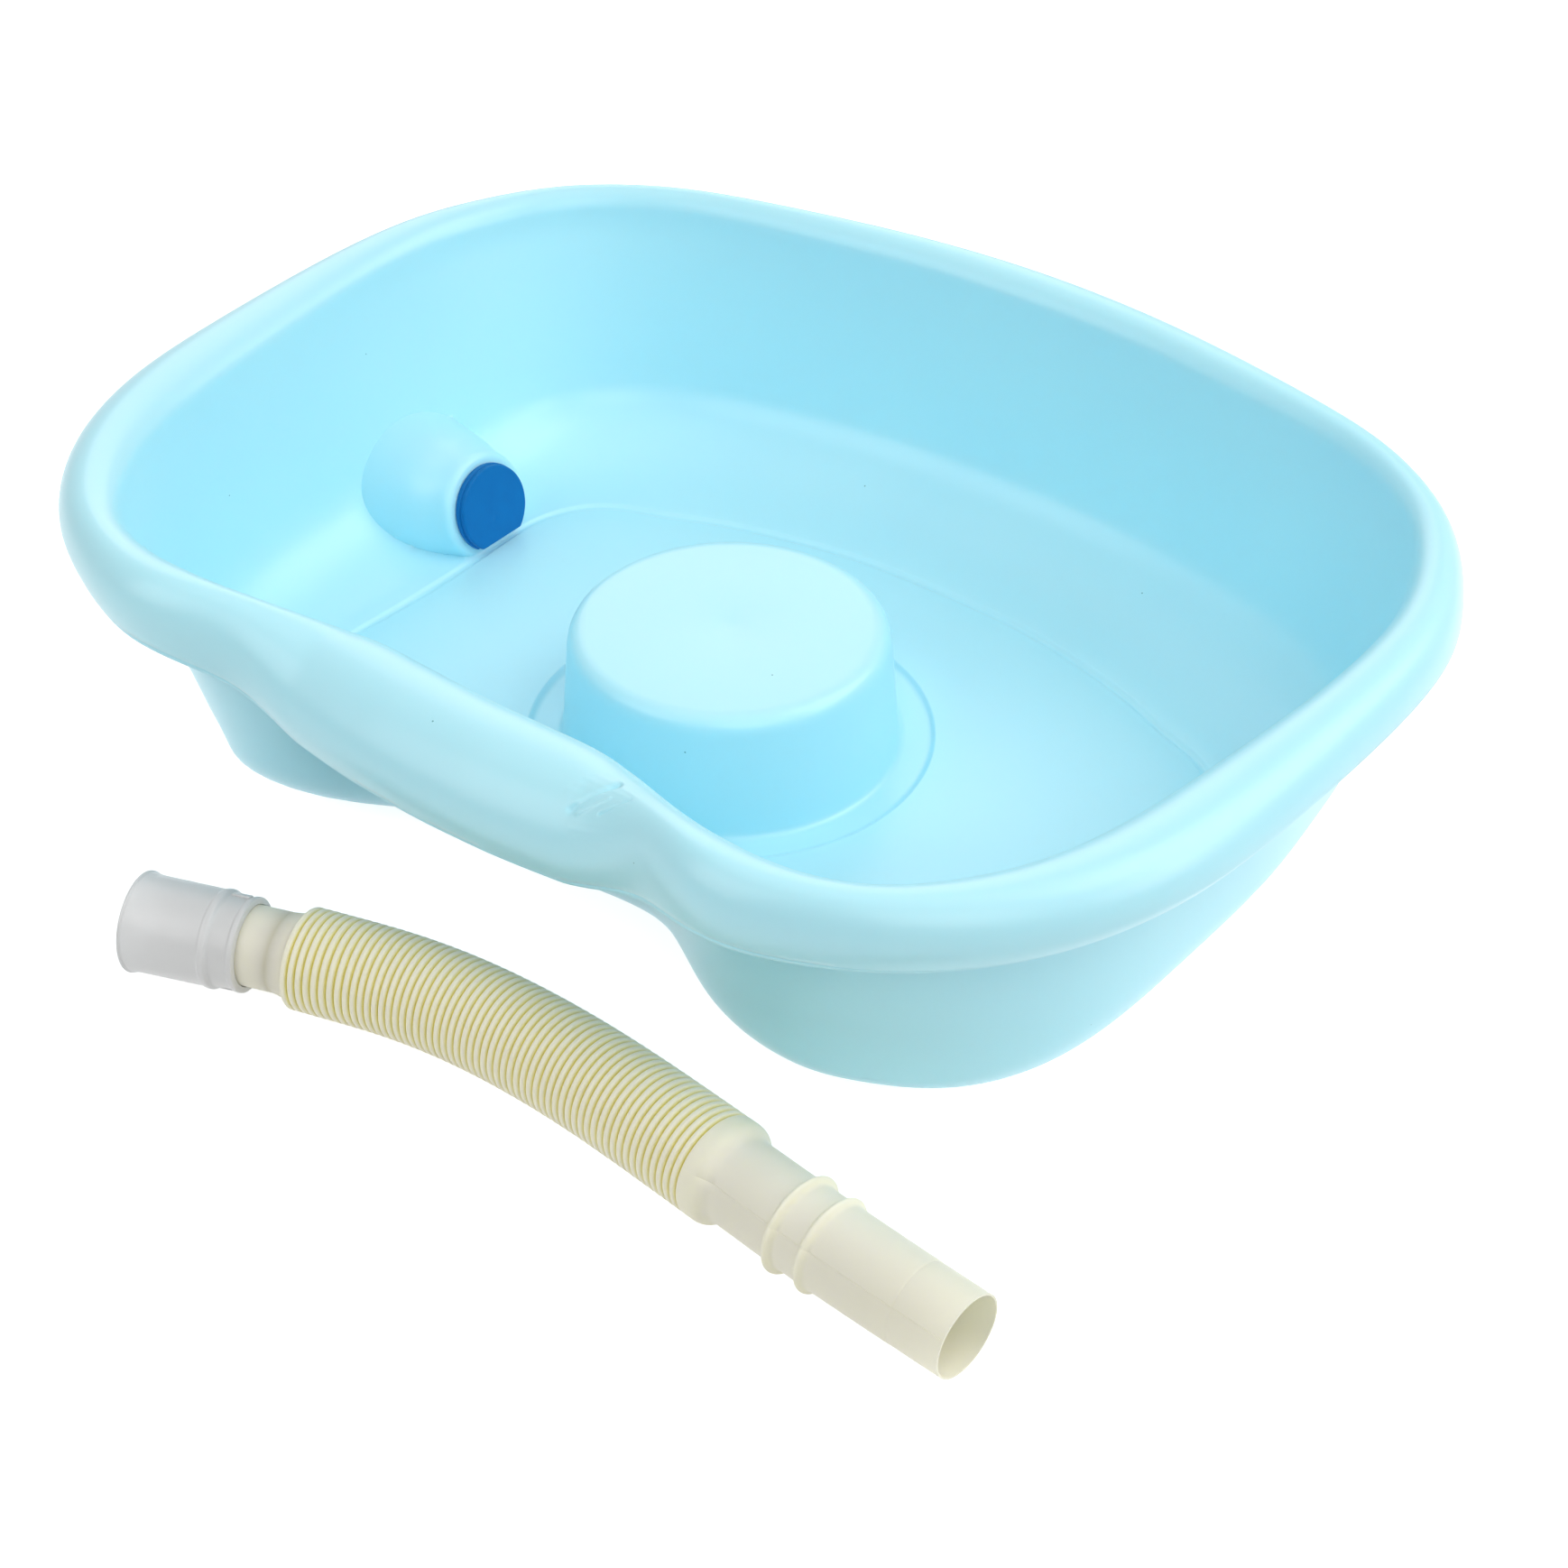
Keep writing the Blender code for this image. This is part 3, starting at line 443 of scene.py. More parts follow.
# Half of each outline, from the middle of the back round to the middle of the neck side, as shares of half
# the length and half the width.
LIP_SHARES = (
    (0.000, 1.000), (0.200, 0.982), (0.384, 0.940), (0.562, 0.880), (0.715, 0.802), (0.850, 0.666),
    (0.937, 0.497), (0.988, 0.302), (1.000, 0.043), (0.991, -0.237), (0.966, -0.476), (0.897, -0.691),
    (0.786, -0.859), (0.652, -0.961), (0.500, -1.003), (0.366, -0.956), (0.247, -0.962), (0.120, -0.982),
    (0.000, -0.988),
)
BRIM_SHARES = (
    (0.000, 0.888), (0.190, 0.878), (0.360, 0.846), (0.532, 0.802), (0.665, 0.744), (0.790, 0.628),
    (0.865, 0.460), (0.897, 0.282), (0.895, 0.042), (0.871, -0.218), (0.843, -0.440), (0.796, -0.628),
    (0.720, -0.772), (0.625, -0.858), (0.497, -0.880), (0.373, -0.843), (0.245, -0.775), (0.120, -0.766),
    (0.000, -0.770),
)
WALL_FOOT_SHARES = (
    (0.000, 0.812), (0.185, 0.804), (0.345, 0.772), (0.503, 0.718), (0.626, 0.650), (0.732, 0.530),
    (0.787, 0.370), (0.806, 0.212), (0.826, 0.022), (0.834, -0.194), (0.830, -0.400), (0.789, -0.580),
    (0.694, -0.700), (0.588, -0.770), (0.497, -0.836), (0.371, -0.824), (0.240, -0.714), (0.117, -0.686),
    (0.000, -0.700),
)
FLOOR_SHARES = (
    (0.000, 0.538), (0.160, 0.530), (0.287, 0.500), (0.407, 0.456), (0.500, 0.406), (0.597, 0.350),
    (0.652, 0.237), (0.660, 0.110), (0.657, -0.022), (0.658, -0.156), (0.664, -0.290), (0.660, -0.435),
    (0.610, -0.565), (0.510, -0.640), (0.398, -0.630), (0.300, -0.590), (0.208, -0.562), (0.108, -0.550),
    (0.000, -0.546),
)
NECK_REST_SHARES = (0,) * 15 + (0.4, 1, 1, 1)
LIP_DROP_SHARES = (0,) * 9 + (0.08, 0.22, 0.36, 0.45, 0.57, 0.72, 0.93, 1, 1, 1)
FOOT_ROUND_SHARES = (0.28,) * 9 + (0.31, 0.33, 0.28, 0.17, 0.13, 0.22, 0.33, 0.35, 0.32, 0.28)
FOOT_SHIFT = 0.010
FRONT_FOOT_SHIFT = 0.0105
FLOOR_SHIFT = 0.009
FOOT_ROUND_WEIGHT_SHARE = 0.72
RIM_ROUND = 0.012
RIM_OUTER_ROUND = 0.018
RIM_CREST_SHARE = 0.5
LIP_DROP = 0.0195
LIP_TUCK = 0.003
LIP_TUCK_POWER = 1.6
SPLIT_LINE_HEIGHT = 0.0003
# The split line's edge and the hollow above it: whether each row stands back, and its height above the lip.
SPLIT_LINE_ROWS = ((1, 0.0020), (0, 0.0014), (0, 0.0008), (1, 0.0003), (1, 0))
# How many rows of faces the foot of the wall, the wall, and the rim's inner and outer rounding have, and where
# the rows of the floor, of the groove's slopes and of the skirt lie.
FOOT_ROWS = 13
WALL_ROWS = 8
RIM_INNER_ROWS = 7
RIM_OUTER_ROWS = 12
FLOOR_ROW_SHARES = (0.3, 0.6, 0.85)
GROOVE_ROW_SHARES = (0, 0.15, 0.35, 0.65, 0.85, 1)
SKIRT_ROW_SHARES = (0.2, 0.4, 0.6, 0.8)
NECK_REST_DIP = 0.0145
NECK_REST_ROUND = 0.027
NECK_REST_DROP = 0.0395
NECK_CREST_SHARE = 0.36
INNER_FLOOR = 0.0052
FLOOR_GROOVE_WIDTH = 0.007
FLOOR_GROOVE_FLAT = 0.0012
FLOOR_GROOVE_DEPTH = 0.0014
HEAD_REST_MIDDLE = Vector((0, -0.0254, 0))
HEAD_REST_TOP = INNER_FLOOR + 0.058
HEAD_REST_EDGE_RADIUS = 0.0723
HEAD_REST_EDGE_ROUND = 0.0085
HEAD_REST_FOOT_RADIUS = 0.0772
HEAD_REST_FOOT_ROUND = 0.0035
RING_GROOVE_EDGE = 0.094
RING_GROOVE_DEPTH = 0.002
RING_GROOVE_SLOPE = 0.0025
RING_GROOVE_ROUNDS = (0.0018, 0.0012)
FOOT_HEIGHT = 0.0012
GATE_MARK_RADIUS = 0.0045
GATE_MARK_DEPTH = 0.0002
DRAIN_TILT = math.radians(13)
DRAIN_MIDDLE = Vector((-0.19535, 0.024, 0.0242))
BOSS_TIP_RADIUS = 0.0268
BOSS_STEP_RADIUS = 0.034
BOSS_STEP_DEPTH = 0.020
BOSS_BASE_RADIUS = 0.043
BOSS_DEPTH = 0.048
BOSS_REACH = 0.088
BOSS_FILLET = 0.0035
BOSS_FACE_RIM = 0.004
BOSS_SIDE_SWELL = 0.0025
BOSS_SIDE_ROUND = 0.006
BOSS_STEP_ROUND = 0.004
BOSS_STEP_LENGTH = 0.013
BOSS_STEPS = 128
BORE_RADIUS = 0.0145
BORE_EDGE_DEPTH = 0.001
BORE_SLACK = 0.0002
BORE_MARGIN = 0.002
SPOUT_REACH = 0.027
# The space above the basin spreads to this share of the lip's size and ends at this height; what lies above
# the cut goes once the boss is out of it.
AIR_SPREAD_SHARE = 1.05
AIR_TOP = 0.2
AIR_CUT = 0.15
# The joint between boss and basin: how deep it is eased, over how many rings of points, how close its points
# and how long its edges may be, and how often it is smoothed.
JOINT_DEPTH = 0.07
JOINT_RINGS = 2
JOINT_SPACING = 0.0010
JOINT_SLIVER = 0.0001
JOINT_EDGES = (0.0030, 0.0015)
JOINT_SMOOTHINGS = 14
# The folds beside the saddle: both ends, how deep each is, and half of how wide.
NECK_FOLDS = (
    ((0.0737, -0.2129, 0.1122), (0.0856, -0.1992, 0.1216), -0.0020, 0.0014),
    ((0.0777, -0.2138, 0.1128), (0.0880, -0.2062, 0.1200), 0.0009, 0.0008),
    ((0.0876, -0.2124, 0.1169), (0.0978, -0.2056, 0.1237), -0.0010, 0.0007),
)
FOLD_FINE_REACH = 0.019
FOLD_REACH = 0.025
FOLD_CUTS = 6


def smooth_loop(rows, count):
    """Evenly spaced points of the closed cubic spline through the rows."""
    knots = np.array(rows, float)
    total = len(knots)
    after = np.roll(knots, -1, 0)
    system = 4 * np.eye(total) + np.roll(np.eye(total), 1, 0) + np.roll(np.eye(total), -1, 0)
    bends = np.linalg.solve(system, 6 * (np.roll(knots, 1, 0) - 2 * knots + after))
    place = np.arange(count) * total / count
    here = place.astype(int)
    t = (place - here)[:, None]
    found = (1 - t) * knots[here] + t * after[here]
    return found + ((1 - t) ** 3 - (1 - t)) * bends[here] / 6 + (t**3 - t) * bends[(here + 1) % total] / 6


def basin_stations():
    """The outlines in metres, station by station: lip, brim, wall foot, floor, and three shares."""
    shares = zip(NECK_REST_SHARES, LIP_DROP_SHARES, FOOT_ROUND_SHARES)
    halves = zip(LIP_SHARES, BRIM_SHARES, WALL_FOOT_SHARES, FLOOR_SHARES, shares)
    rows = [(*lip, *brim, *foot, *floor, *others) for lip, brim, foot, floor, others in halves]
    mirror = (-1, 1, -1, 1, -1, 1, -1, 1, 1, 1, 1)
    rows += [tuple(a * b for a, b in zip(row, mirror)) for row in rows[-2:0:-1]]
    found = smooth_loop(rows, STATIONS)
    middle = (found[:, 1].max() + found[:, 1].min()) / 2
    found[:, 0:8:2] *= BASIN_LENGTH / 2 / found[:, 0].max()
    found[:, 1:8:2] = (found[:, 1:8:2] - middle) * BASIN_WIDTH / (found[:, 1].max() - found[:, 1].min())
    found[:, 8:] = np.clip(found[:, 8:], 0, 1)
    front = np.clip(-found[:, 5] / (BASIN_WIDTH / 2), 0, 1)
    found[:, 4] += FOOT_SHIFT + FRONT_FOOT_SHIFT * front**2
    found[:, 6] += FLOOR_SHIFT
    return found


groove_low = INNER_FLOOR - RING_GROOVE_DEPTH
head_rest_profile = rounded([
    (GATE_MARK_RADIUS - 0.001, HEAD_REST_TOP - GATE_MARK_DEPTH, 0),
    (GATE_MARK_RADIUS, HEAD_REST_TOP, 0),
    (HEAD_REST_EDGE_RADIUS / 2, HEAD_REST_TOP, 0),
    (HEAD_REST_EDGE_RADIUS, HEAD_REST_TOP, HEAD_REST_EDGE_ROUND),
    (HEAD_REST_FOOT_RADIUS, groove_low, HEAD_REST_FOOT_ROUND),
    (RING_GROOVE_EDGE - RING_GROOVE_SLOPE, groove_low, RING_GROOVE_ROUNDS[0]),
    (RING_GROOVE_EDGE, INNER_FLOOR, RING_GROOVE_ROUNDS[1]),
    (RING_GROOVE_EDGE + 0.001, INNER_FLOOR, 0),
], steps=5)


def basin_section(station):
    """The visible surface at one station, from the gate mark on the head rest out over the rim."""
    lip, brim, foot, floor = (Vector((*station[i : i + 2], 0)) for i in (0, 2, 4, 6))
    neck, drop, foot_round = station[8:]
    up = Vector((0, 0, 1))
    out = (floor - HEAD_REST_MIDDLE).normalized()
    points = [HEAD_REST_MIDDLE + out * radius + up * height for radius, height in head_rest_profile]
    outward = (foot - floor).normalized()
    near = floor - outward * FLOOR_GROOVE_WIDTH / 2 + up * INNER_FLOOR
    edge = floor + outward * FLOOR_GROOVE_WIDTH / 2 + up * INNER_FLOOR
    points += [points[-1].lerp(near, share) for share in FLOOR_ROW_SHARES]
    slope = (FLOOR_GROOVE_WIDTH - FLOOR_GROOVE_FLAT) / 2
    for share in GROOVE_ROW_SHARES:
        points.append(near + outward * slope * share - up * FLOOR_GROOVE_DEPTH * share**2 * (3 - 2 * share))
    for share in reversed(GROOVE_ROW_SHARES):
        points.append(edge - outward * slope * share - up * FLOOR_GROOVE_DEPTH * share**2 * (3 - 2 * share))
    crest = BASIN_HEIGHT - NECK_REST_DIP * neck
    corner = foot + up * INNER_FLOOR
    top = brim + up * (crest - RIM_ROUND)
    knee = corner.lerp(top, foot_round)
    for t in np.linspace(0, 1, FOOT_ROWS + 1)[1:]:
        pull = 2 * FOOT_ROUND_WEIGHT_SHARE * t * (1 - t)
        points.append((edge * (1 - t) ** 2 + corner * pull + knee * t**2) / ((1 - t) ** 2 + pull + t**2))
    points += [knee.lerp(top, t) for t in np.linspace(0, 1, WALL_ROWS + 1)[1:]]
    crest_share = RIM_CREST_SHARE + (NECK_CREST_SHARE - RIM_CREST_SHARE) * neck
    outer_round = RIM_OUTER_ROUND + (NECK_REST_ROUND - RIM_OUTER_ROUND) * neck
    for turn in np.linspace(0, math.pi / 2, RIM_INNER_ROWS + 1)[1:]:
        across = brim.lerp(lip, crest_share * (1 - math.cos(turn)))
        points.append(across + up * (crest - RIM_ROUND * (1 - math.sin(turn))))
    for turn in np.linspace(0, math.pi / 2, RIM_OUTER_ROWS + 1)[1:]:
        across = brim.lerp(lip, crest_share + (1 - crest_share) * math.sin(turn))
        points.append(across + up * (crest - outer_round * (1 - math.cos(turn))))
    skirt = points[-1]
    low = lip + up * (crest - LIP_DROP - (NECK_REST_DROP - LIP_DROP) * drop)
    inwards = (brim - lip).normalized()
    for share in SKIRT_ROW_SHARES:
        points.append(skirt.lerp(low, share) + inwards * LIP_TUCK * share**LIP_TUCK_POWER)
    low += inwards * LIP_TUCK
    for back, height in SPLIT_LINE_ROWS:
        points.append(low + inwards * SPLIT_LINE_HEIGHT * back + up * height)
    return points


def with_modifier(bm, kind, other=None, **settings):
    """The shape after one of Blender's modifiers, with a second shape for it to work with if needed."""
    helpers = []
    for shape in (bm, other):
        if shape:
            mesh = bpy.data.meshes.new("helper")
            shape.to_mesh(mesh)
            shape.free()
            helpers.append(bpy.data.objects.new("helper", mesh))
            scene.collection.objects.link(helpers[-1])
    modifier = helpers[0].modifiers.new(kind.lower(), kind)
    for name, value in settings.items():
        setattr(modifier, name, value)
    if other:
        modifier.object = helpers[1]
    bpy.context.view_layer.update()
    made = bmesh.new()
    made.from_object(helpers[0], bpy.context.evaluated_depsgraph_get())
    for helper in helpers:
        bpy.data.objects.remove(helper)
    return made


# The space above the visible surface: a disc spun from a straight row of points, one point to a ring, and each
# ring then laid along the basin. Past the lip it is closed well above the basin.
sections = [basin_section(station) for station in basin_stations()]
ring_count = len(sections[0])
air = turned([(ring, 0) for ring in range(ring_count + 2)], STATIONS)
for vert in air.verts:
    ring = round(math.hypot(vert.co.x, vert.co.y))
    station = round(math.atan2(vert.co.y, vert.co.x) / math.tau * STATIONS) % STATIONS
    if ring == 0:
        vert.co = HEAD_REST_MIDDLE + Vector((0, 0, HEAD_REST_TOP - GATE_MARK_DEPTH))
    elif ring <= ring_count:
        vert.co = sections[station][ring - 1]
    else:
        lip = sections[station][-1]
        vert.co = Vector((lip.x * AIR_SPREAD_SHARE, lip.y * AIR_SPREAD_SHARE, AIR_TOP))
bmesh.ops.contextual_create(air, geom=[edge for edge in air.edges if edge.is_boundary])
bmesh.ops.recalc_face_normals(air, faces=air.faces)

# The boss is cut out of that space: a round cone with a soft step, tilted so that its face leans back.
tilt, lean = math.sin(DRAIN_TILT), math.cos(DRAIN_TILT)
drain_turn = Matrix(((-tilt, 0, lean), (0, -1, 0), (lean, 0, tilt))).transposed().to_4x4()
drain_frame = Matrix.Translation(DRAIN_MIDDLE) @ drain_turn
boss_slope = (BOSS_BASE_RADIUS - BOSS_STEP_RADIUS) / (BOSS_DEPTH - BOSS_STEP_DEPTH)
boss_profile = rounded([
    (0, 0, 0),
    (BORE_RADIUS, 0, 0),
    (BORE_RADIUS + BOSS_FACE_RIM, 0, 0),
    (BOSS_TIP_RADIUS, 0, BOSS_FILLET),
    (BOSS_TIP_RADIUS + BOSS_SIDE_SWELL, -BOSS_STEP_DEPTH / 2, BOSS_SIDE_ROUND),
    (BOSS_STEP_RADIUS, -BOSS_STEP_DEPTH, BOSS_STEP_ROUND),
    (BOSS_STEP_RADIUS + boss_slope * BOSS_STEP_LENGTH, -BOSS_STEP_DEPTH - BOSS_STEP_LENGTH, 0),
    (BOSS_BASE_RADIUS, -BOSS_DEPTH, 0),
    (BOSS_BASE_RADIUS + boss_slope * (BOSS_REACH - BOSS_DEPTH), -BOSS_REACH, 0),
    (0, -BOSS_REACH, 0),
], steps=5)
boss = turned(boss_profile, BOSS_STEPS)
bmesh.ops.transform(boss, matrix=drain_frame, verts=boss.verts)
boss_faces = boss.faces.layers.int.new("boss")
air.faces.layers.int.new("boss")
for face in boss.faces:
    face[boss_faces] = 1
basin_bm = with_modifier(air, "BOOLEAN", boss, operation="DIFFERENCE", solver="EXACT")

# Only the visible surface is kept. The bore is opened in the boss's face and drawn back into the spout.
basin_bm.normal_update()
spare = [face for face in basin_bm.faces if max(vert.co.z for vert in face.verts) > AIR_CUT]
bmesh.ops.delete(basin_bm, geom=spare, context="FACES")
bmesh.ops.reverse_faces(basin_bm, faces=basin_bm.faces)
from_drain = drain_frame.inverted()


def in_bore(vert, slack=BORE_SLACK):
    """Whether a point lies in the boss's face, within the bore."""
    place = from_drain @ vert.co
    return abs(place.z) < slack and math.hypot(place.x, place.y) < BORE_RADIUS + slack


lid = [face for face in basin_bm.faces if all(in_bore(vert) for vert in face.verts)]
bmesh.ops.delete(basin_bm, geom=lid, context="FACES")
open_edges = [edge for edge in basin_bm.edges if edge.is_boundary]
bore_edge = [edge for edge in open_edges if all(in_bore(vert) for vert in edge.verts)]
for step in (BORE_EDGE_DEPTH, SPOUT_REACH / 2, SPOUT_REACH / 2 - BORE_EDGE_DEPTH):
    grown = bmesh.ops.extrude_edge_only(basin_bm, edges=bore_edge)["geom"]
    ring = {part for part in grown if isinstance(part, bmesh.types.BMVert)}
    bmesh.ops.translate(basin_bm, vec=drain_turn.to_3x3() @ Vector((0, 0, -step)), verts=list(ring))
    bore_edge = [part for part in grown if isinstance(part, bmesh.types.BMEdge) and set(part.verts) <= ring]

# Where the boss meets the wall and the floor, the mould is eased by a few millimetres.
boss_faces = basin_bm.faces.layers.int["boss"]
joint = [vert for vert in basin_bm.verts if len({face[boss_faces] for face in vert.link_faces}) == 2]
joint = [vert for vert in joint if not vert.is_boundary and (from_drain @ vert.co).z > -JOINT_DEPTH]
near = set(joint)
for ring in range(JOINT_RINGS):
    near |= {edge.other_vert(vert) for vert in near for edge in vert.link_edges}
near = [vert for vert in basin_bm.verts if vert in near and not in_bore(vert, BORE_MARGIN)]
bmesh.ops.remove_doubles(basin_bm, verts=near, dist=JOINT_SPACING)
near = {vert for vert in near if vert.is_valid}
thin = [edge for edge in basin_bm.edges if near & set(edge.verts)]
bmesh.ops.dissolve_degenerate(basin_bm, edges=thin, dist=JOINT_SLIVER)
near = {vert for vert in near if vert.is_valid}
band = [face for face in basin_bm.faces if near & set(face.verts)]
bmesh.ops.triangulate(basin_bm, faces=band)
for length in JOINT_EDGES:
    long_edges = [edge for edge in basin_bm.edges if near & set(edge.verts) and edge.calc_length() > length]
    made = bmesh.ops.subdivide_edges(basin_bm, edges=long_edges, cuts=1)["geom_inner"]
    near |= {part for part in made if isinstance(part, bmesh.types.BMVert)}
    band = [face for face in basin_bm.faces if near & set(face.verts)]
    bmesh.ops.triangulate(basin_bm, faces=band)
    near = {vert for vert in near if vert.is_valid}
near = [vert for vert in basin_bm.verts if vert in near]
for _ in range(JOINT_SMOOTHINGS):
    bmesh.ops.smooth_vert(
        basin_bm, verts=near, factor=0.5, use_axis_x=True, use_axis_y=True, use_axis_z=True
    )

# The folds are fine, so the rim has finer faces there.
fold_ends = [Vector(end) for fold in NECK_FOLDS for end in fold[:2]]
fold_middle = sum(fold_ends, Vector()) / len(fold_ends)
close = {vert for vert in basin_bm.verts if (vert.co - fold_middle).length < FOLD_FINE_REACH}
close_edges = [edge for edge in basin_bm.edges if set(edge.verts) <= close]
bmesh.ops.subdivide_edges(basin_bm, edges=close_edges, cuts=FOLD_CUTS, smooth=1, use_grid_fill=True)
basin_bm.normal_update()
for vert in basin_bm.verts:
    if (vert.co - fold_middle).length < FOLD_REACH:
        shift = 0
        for start, end, rise, half_width in NECK_FOLDS:
            start, along = Vector(start), Vector(end) - Vector(start)
            share = min(max((vert.co - start).dot(along) / along.length_squared, 0), 1)
            shift += rise * math.exp(-(((vert.co - start - along * share).length / half_width) ** 2))
        vert.co += vert.normal * shift

# The wall goes behind the visible surface, and its feet are flat on the floor.
basin_bm = with_modifier(
    basin_bm, "SOLIDIFY", thickness=WALL, offset=-1, use_even_offset=False, use_quality_normals=True
)
for vert in basin_bm.verts:
    if vert.co.z < FOOT_HEIGHT:
        vert.co.z = 0
basin = finished("moulded_basin", basin_bm, "basin", "basin", sharp=50)

# Polyethylene from an injection mould: a clean, slightly waxy aqua with a soft gloss, a little paler where it
# flowed last, in tracts of about 140 mm, with faint orange peel every 4 mm, and scuffs every 20 mm.
basin_plastic = bpy.data.materials.new("moulded_polyethylene")
basin_plastic.use_nodes = True
shader = basin_plastic.node_tree.nodes["Principled BSDF"]
shader.inputs["IOR"].default_value = 1.51
shader.inputs["Subsurface Weight"].default_value = 0.2
shader.inputs["Subsurface Radius"].default_value = (0.003, 0.006, 0.007)
shader.inputs["Subsurface Scale"].default_value = 1
place_on = add_node(basin_plastic, "ShaderNodeTexCoord").outputs["Object"]
flow = add_node(
    basin_plastic, "ShaderNodeTexNoise", [("Vector", place_on)], Scale=7, Detail=2, Roughness=0.5
)
aqua = add_node(basin_plastic, "ShaderNodeMix", [(0, flow.outputs["Fac"])], data_type="RGBA")
aqua.inputs[6].default_value = linear("#B2ECFD")
aqua.inputs[7].default_value = linear("#BCF2FE")
# Specks of about 0.5 mm, one to every few centimetres.
speck_places = add_node(basin_plastic, "ShaderNodeTexVoronoi", [("Vector", place_on)], Scale=28)
specks = add_node(
    basin_plastic, "ShaderNodeMath", [(0, speck_places.outputs["Distance"])], operation="LESS_THAN"
)
specks.inputs[1].default_value = 0.011
spotted = add_node(
    basin_plastic, "ShaderNodeMix", [(0, specks.outputs[0]), (6, aqua.outputs[2])], data_type="RGBA"
)
spotted.inputs[7].default_value = linear("#5FA9B4")
basin_plastic.node_tree.links.new(spotted.outputs[2], shader.inputs["Base Color"])
scuffs = add_node(
    basin_plastic, "ShaderNodeTexNoise", [("Vector", place_on)], Scale=45, Detail=3, Roughness=0.5
)
gloss = add_node(basin_plastic, "ShaderNodeMapRange", [("Value", scuffs.outputs["Fac"])])
gloss.inputs["To Min"].default_value = 0.275
gloss.inputs["To Max"].default_value = 0.33
basin_plastic.node_tree.links.new(gloss.outputs[0], shader.inputs["Roughness"])
peel = add_node(
    basin_plastic, "ShaderNodeTexNoise", [("Vector", place_on)], Scale=260, Detail=2, Roughness=0.5
)
bumps = add_node(
    basin_plastic, "ShaderNodeBump", [("Height", peel.outputs["Fac"])], Strength=0.03, Distance=0.0002
)
basin_plastic.node_tree.links.new(bumps.outputs["Normal"], shader.inputs["Normal"])
basin.data.materials.append(basin_plastic)

# Stopper. A plug of blue moulded rubber that is pushed into the boss from inside; its cap has a line round the
# edge, where the two halves of the mould met, and a flat so that it clears the floor.
CAP_RADIUS = 0.0222
CAP_THICKNESS = 0.0053
CAP_STEP = 0.0006
CAP_LINE_WIDTHS = (0.0003, 0.0005)
CAP_LINE_DEPTH = 0.0003
CAP_FRONT_ROUND = 0.001
CAP_BACK_ROUND = 0.0006
CAP_FLAT_REACH = 0.0165
CAP_FLAT_ROUND = 0.0004
CAP_RINGS = 20
CAP_RING_SPACING = 0.001
CAP_SLACK = 1e-5
STOPPER_STEPS = 96
PLUG_RADIUS = 0.0142
PLUG_TAPER = 0.0008
PLUG_LENGTH = 0.012
PLUG_END_ROUND = 0.0015
DIMPLE_PLACE = (-0.0055, 0.0015)
DIMPLE_RADIUS = 0.0016
DIMPLE_DEPTH = 0.00025

cap_front = FIT_GAP + CAP_THICKNESS
cap_line = FIT_GAP + CAP_THICKNESS / 2
stopper_profile = rounded([
    (0, -PLUG_LENGTH, 0),
    (PLUG_RADIUS - PLUG_TAPER, -PLUG_LENGTH, PLUG_END_ROUND),
    (PLUG_RADIUS, FIT_GAP, CRISP_ROUND),
    (CAP_RADIUS, FIT_GAP, CAP_BACK_ROUND),
    (CAP_RADIUS, cap_line - CAP_LINE_WIDTHS[0], CRISP_ROUND),
    (CAP_RADIUS - CAP_STEP - CAP_LINE_DEPTH, cap_line, SHARP_ROUND),
    (CAP_RADIUS - CAP_STEP, cap_line + CAP_LINE_WIDTHS[1], CRISP_ROUND),
    (CAP_RADIUS - CAP_STEP, cap_front, CAP_FRONT_ROUND),
] + [(ring * CAP_RING_SPACING, cap_front, 0) for ring in range(CAP_RINGS, -1, -1)])
stopper_bm = turned(stopper_profile, STOPPER_STEPS)
everything = stopper_bm.verts[:] + stopper_bm.edges[:] + stopper_bm.faces[:]
bmesh.ops.bisect_plane(
    stopper_bm, geom=everything, plane_co=(-CAP_FLAT_REACH, 0, 0), plane_no=(-1, 0, 0), clear_outer=True
)
cut_edges = [edge for edge in stopper_bm.edges if edge.is_boundary]
bmesh.ops.edgeloop_fill(stopper_bm, edges=cut_edges)
bmesh.ops.bevel(
    stopper_bm, geom=cut_edges, offset=CAP_FLAT_ROUND, segments=3, profile=0.5, affect="EDGES", material=-1,
    clamp_overlap=True,
)
for vert in stopper_bm.verts:
    if vert.co.z > cap_front - CAP_SLACK:
        away = math.dist(vert.co.xy, DIMPLE_PLACE) / DIMPLE_RADIUS
        vert.co.z -= DIMPLE_DEPTH * math.exp(-(away**2))
bmesh.ops.transform(stopper_bm, matrix=drain_frame, verts=stopper_bm.verts)
stopper = finished("rubber_stopper", stopper_bm, "stopper", "drain_stopper")

# Compression-moulded rubber: an even blue with a dull sheen, cloudy over about 10 mm, with the mould's fine
# grain of 0.7 mm.
stopper_rubber = bpy.data.materials.new("moulded_rubber")
stopper_rubber.use_nodes = True
shader = stopper_rubber.node_tree.nodes["Principled BSDF"]
shader.inputs["IOR"].default_value = 1.52
shader.inputs["Specular IOR Level"].default_value = 0.16
place_on = add_node(stopper_rubber, "ShaderNodeTexCoord").outputs["Object"]
cloud = add_node(
    stopper_rubber, "ShaderNodeTexNoise", [("Vector", place_on)], Scale=90, Detail=4, Roughness=0.6
)
blue = add_node(stopper_rubber, "ShaderNodeMix", [(0, cloud.outputs["Fac"])], data_type="RGBA")
blue.inputs[6].default_value = linear("#0066A9")
blue.inputs[7].default_value = linear("#0372B6")
stopper_rubber.node_tree.links.new(blue.outputs[2], shader.inputs["Base Color"])
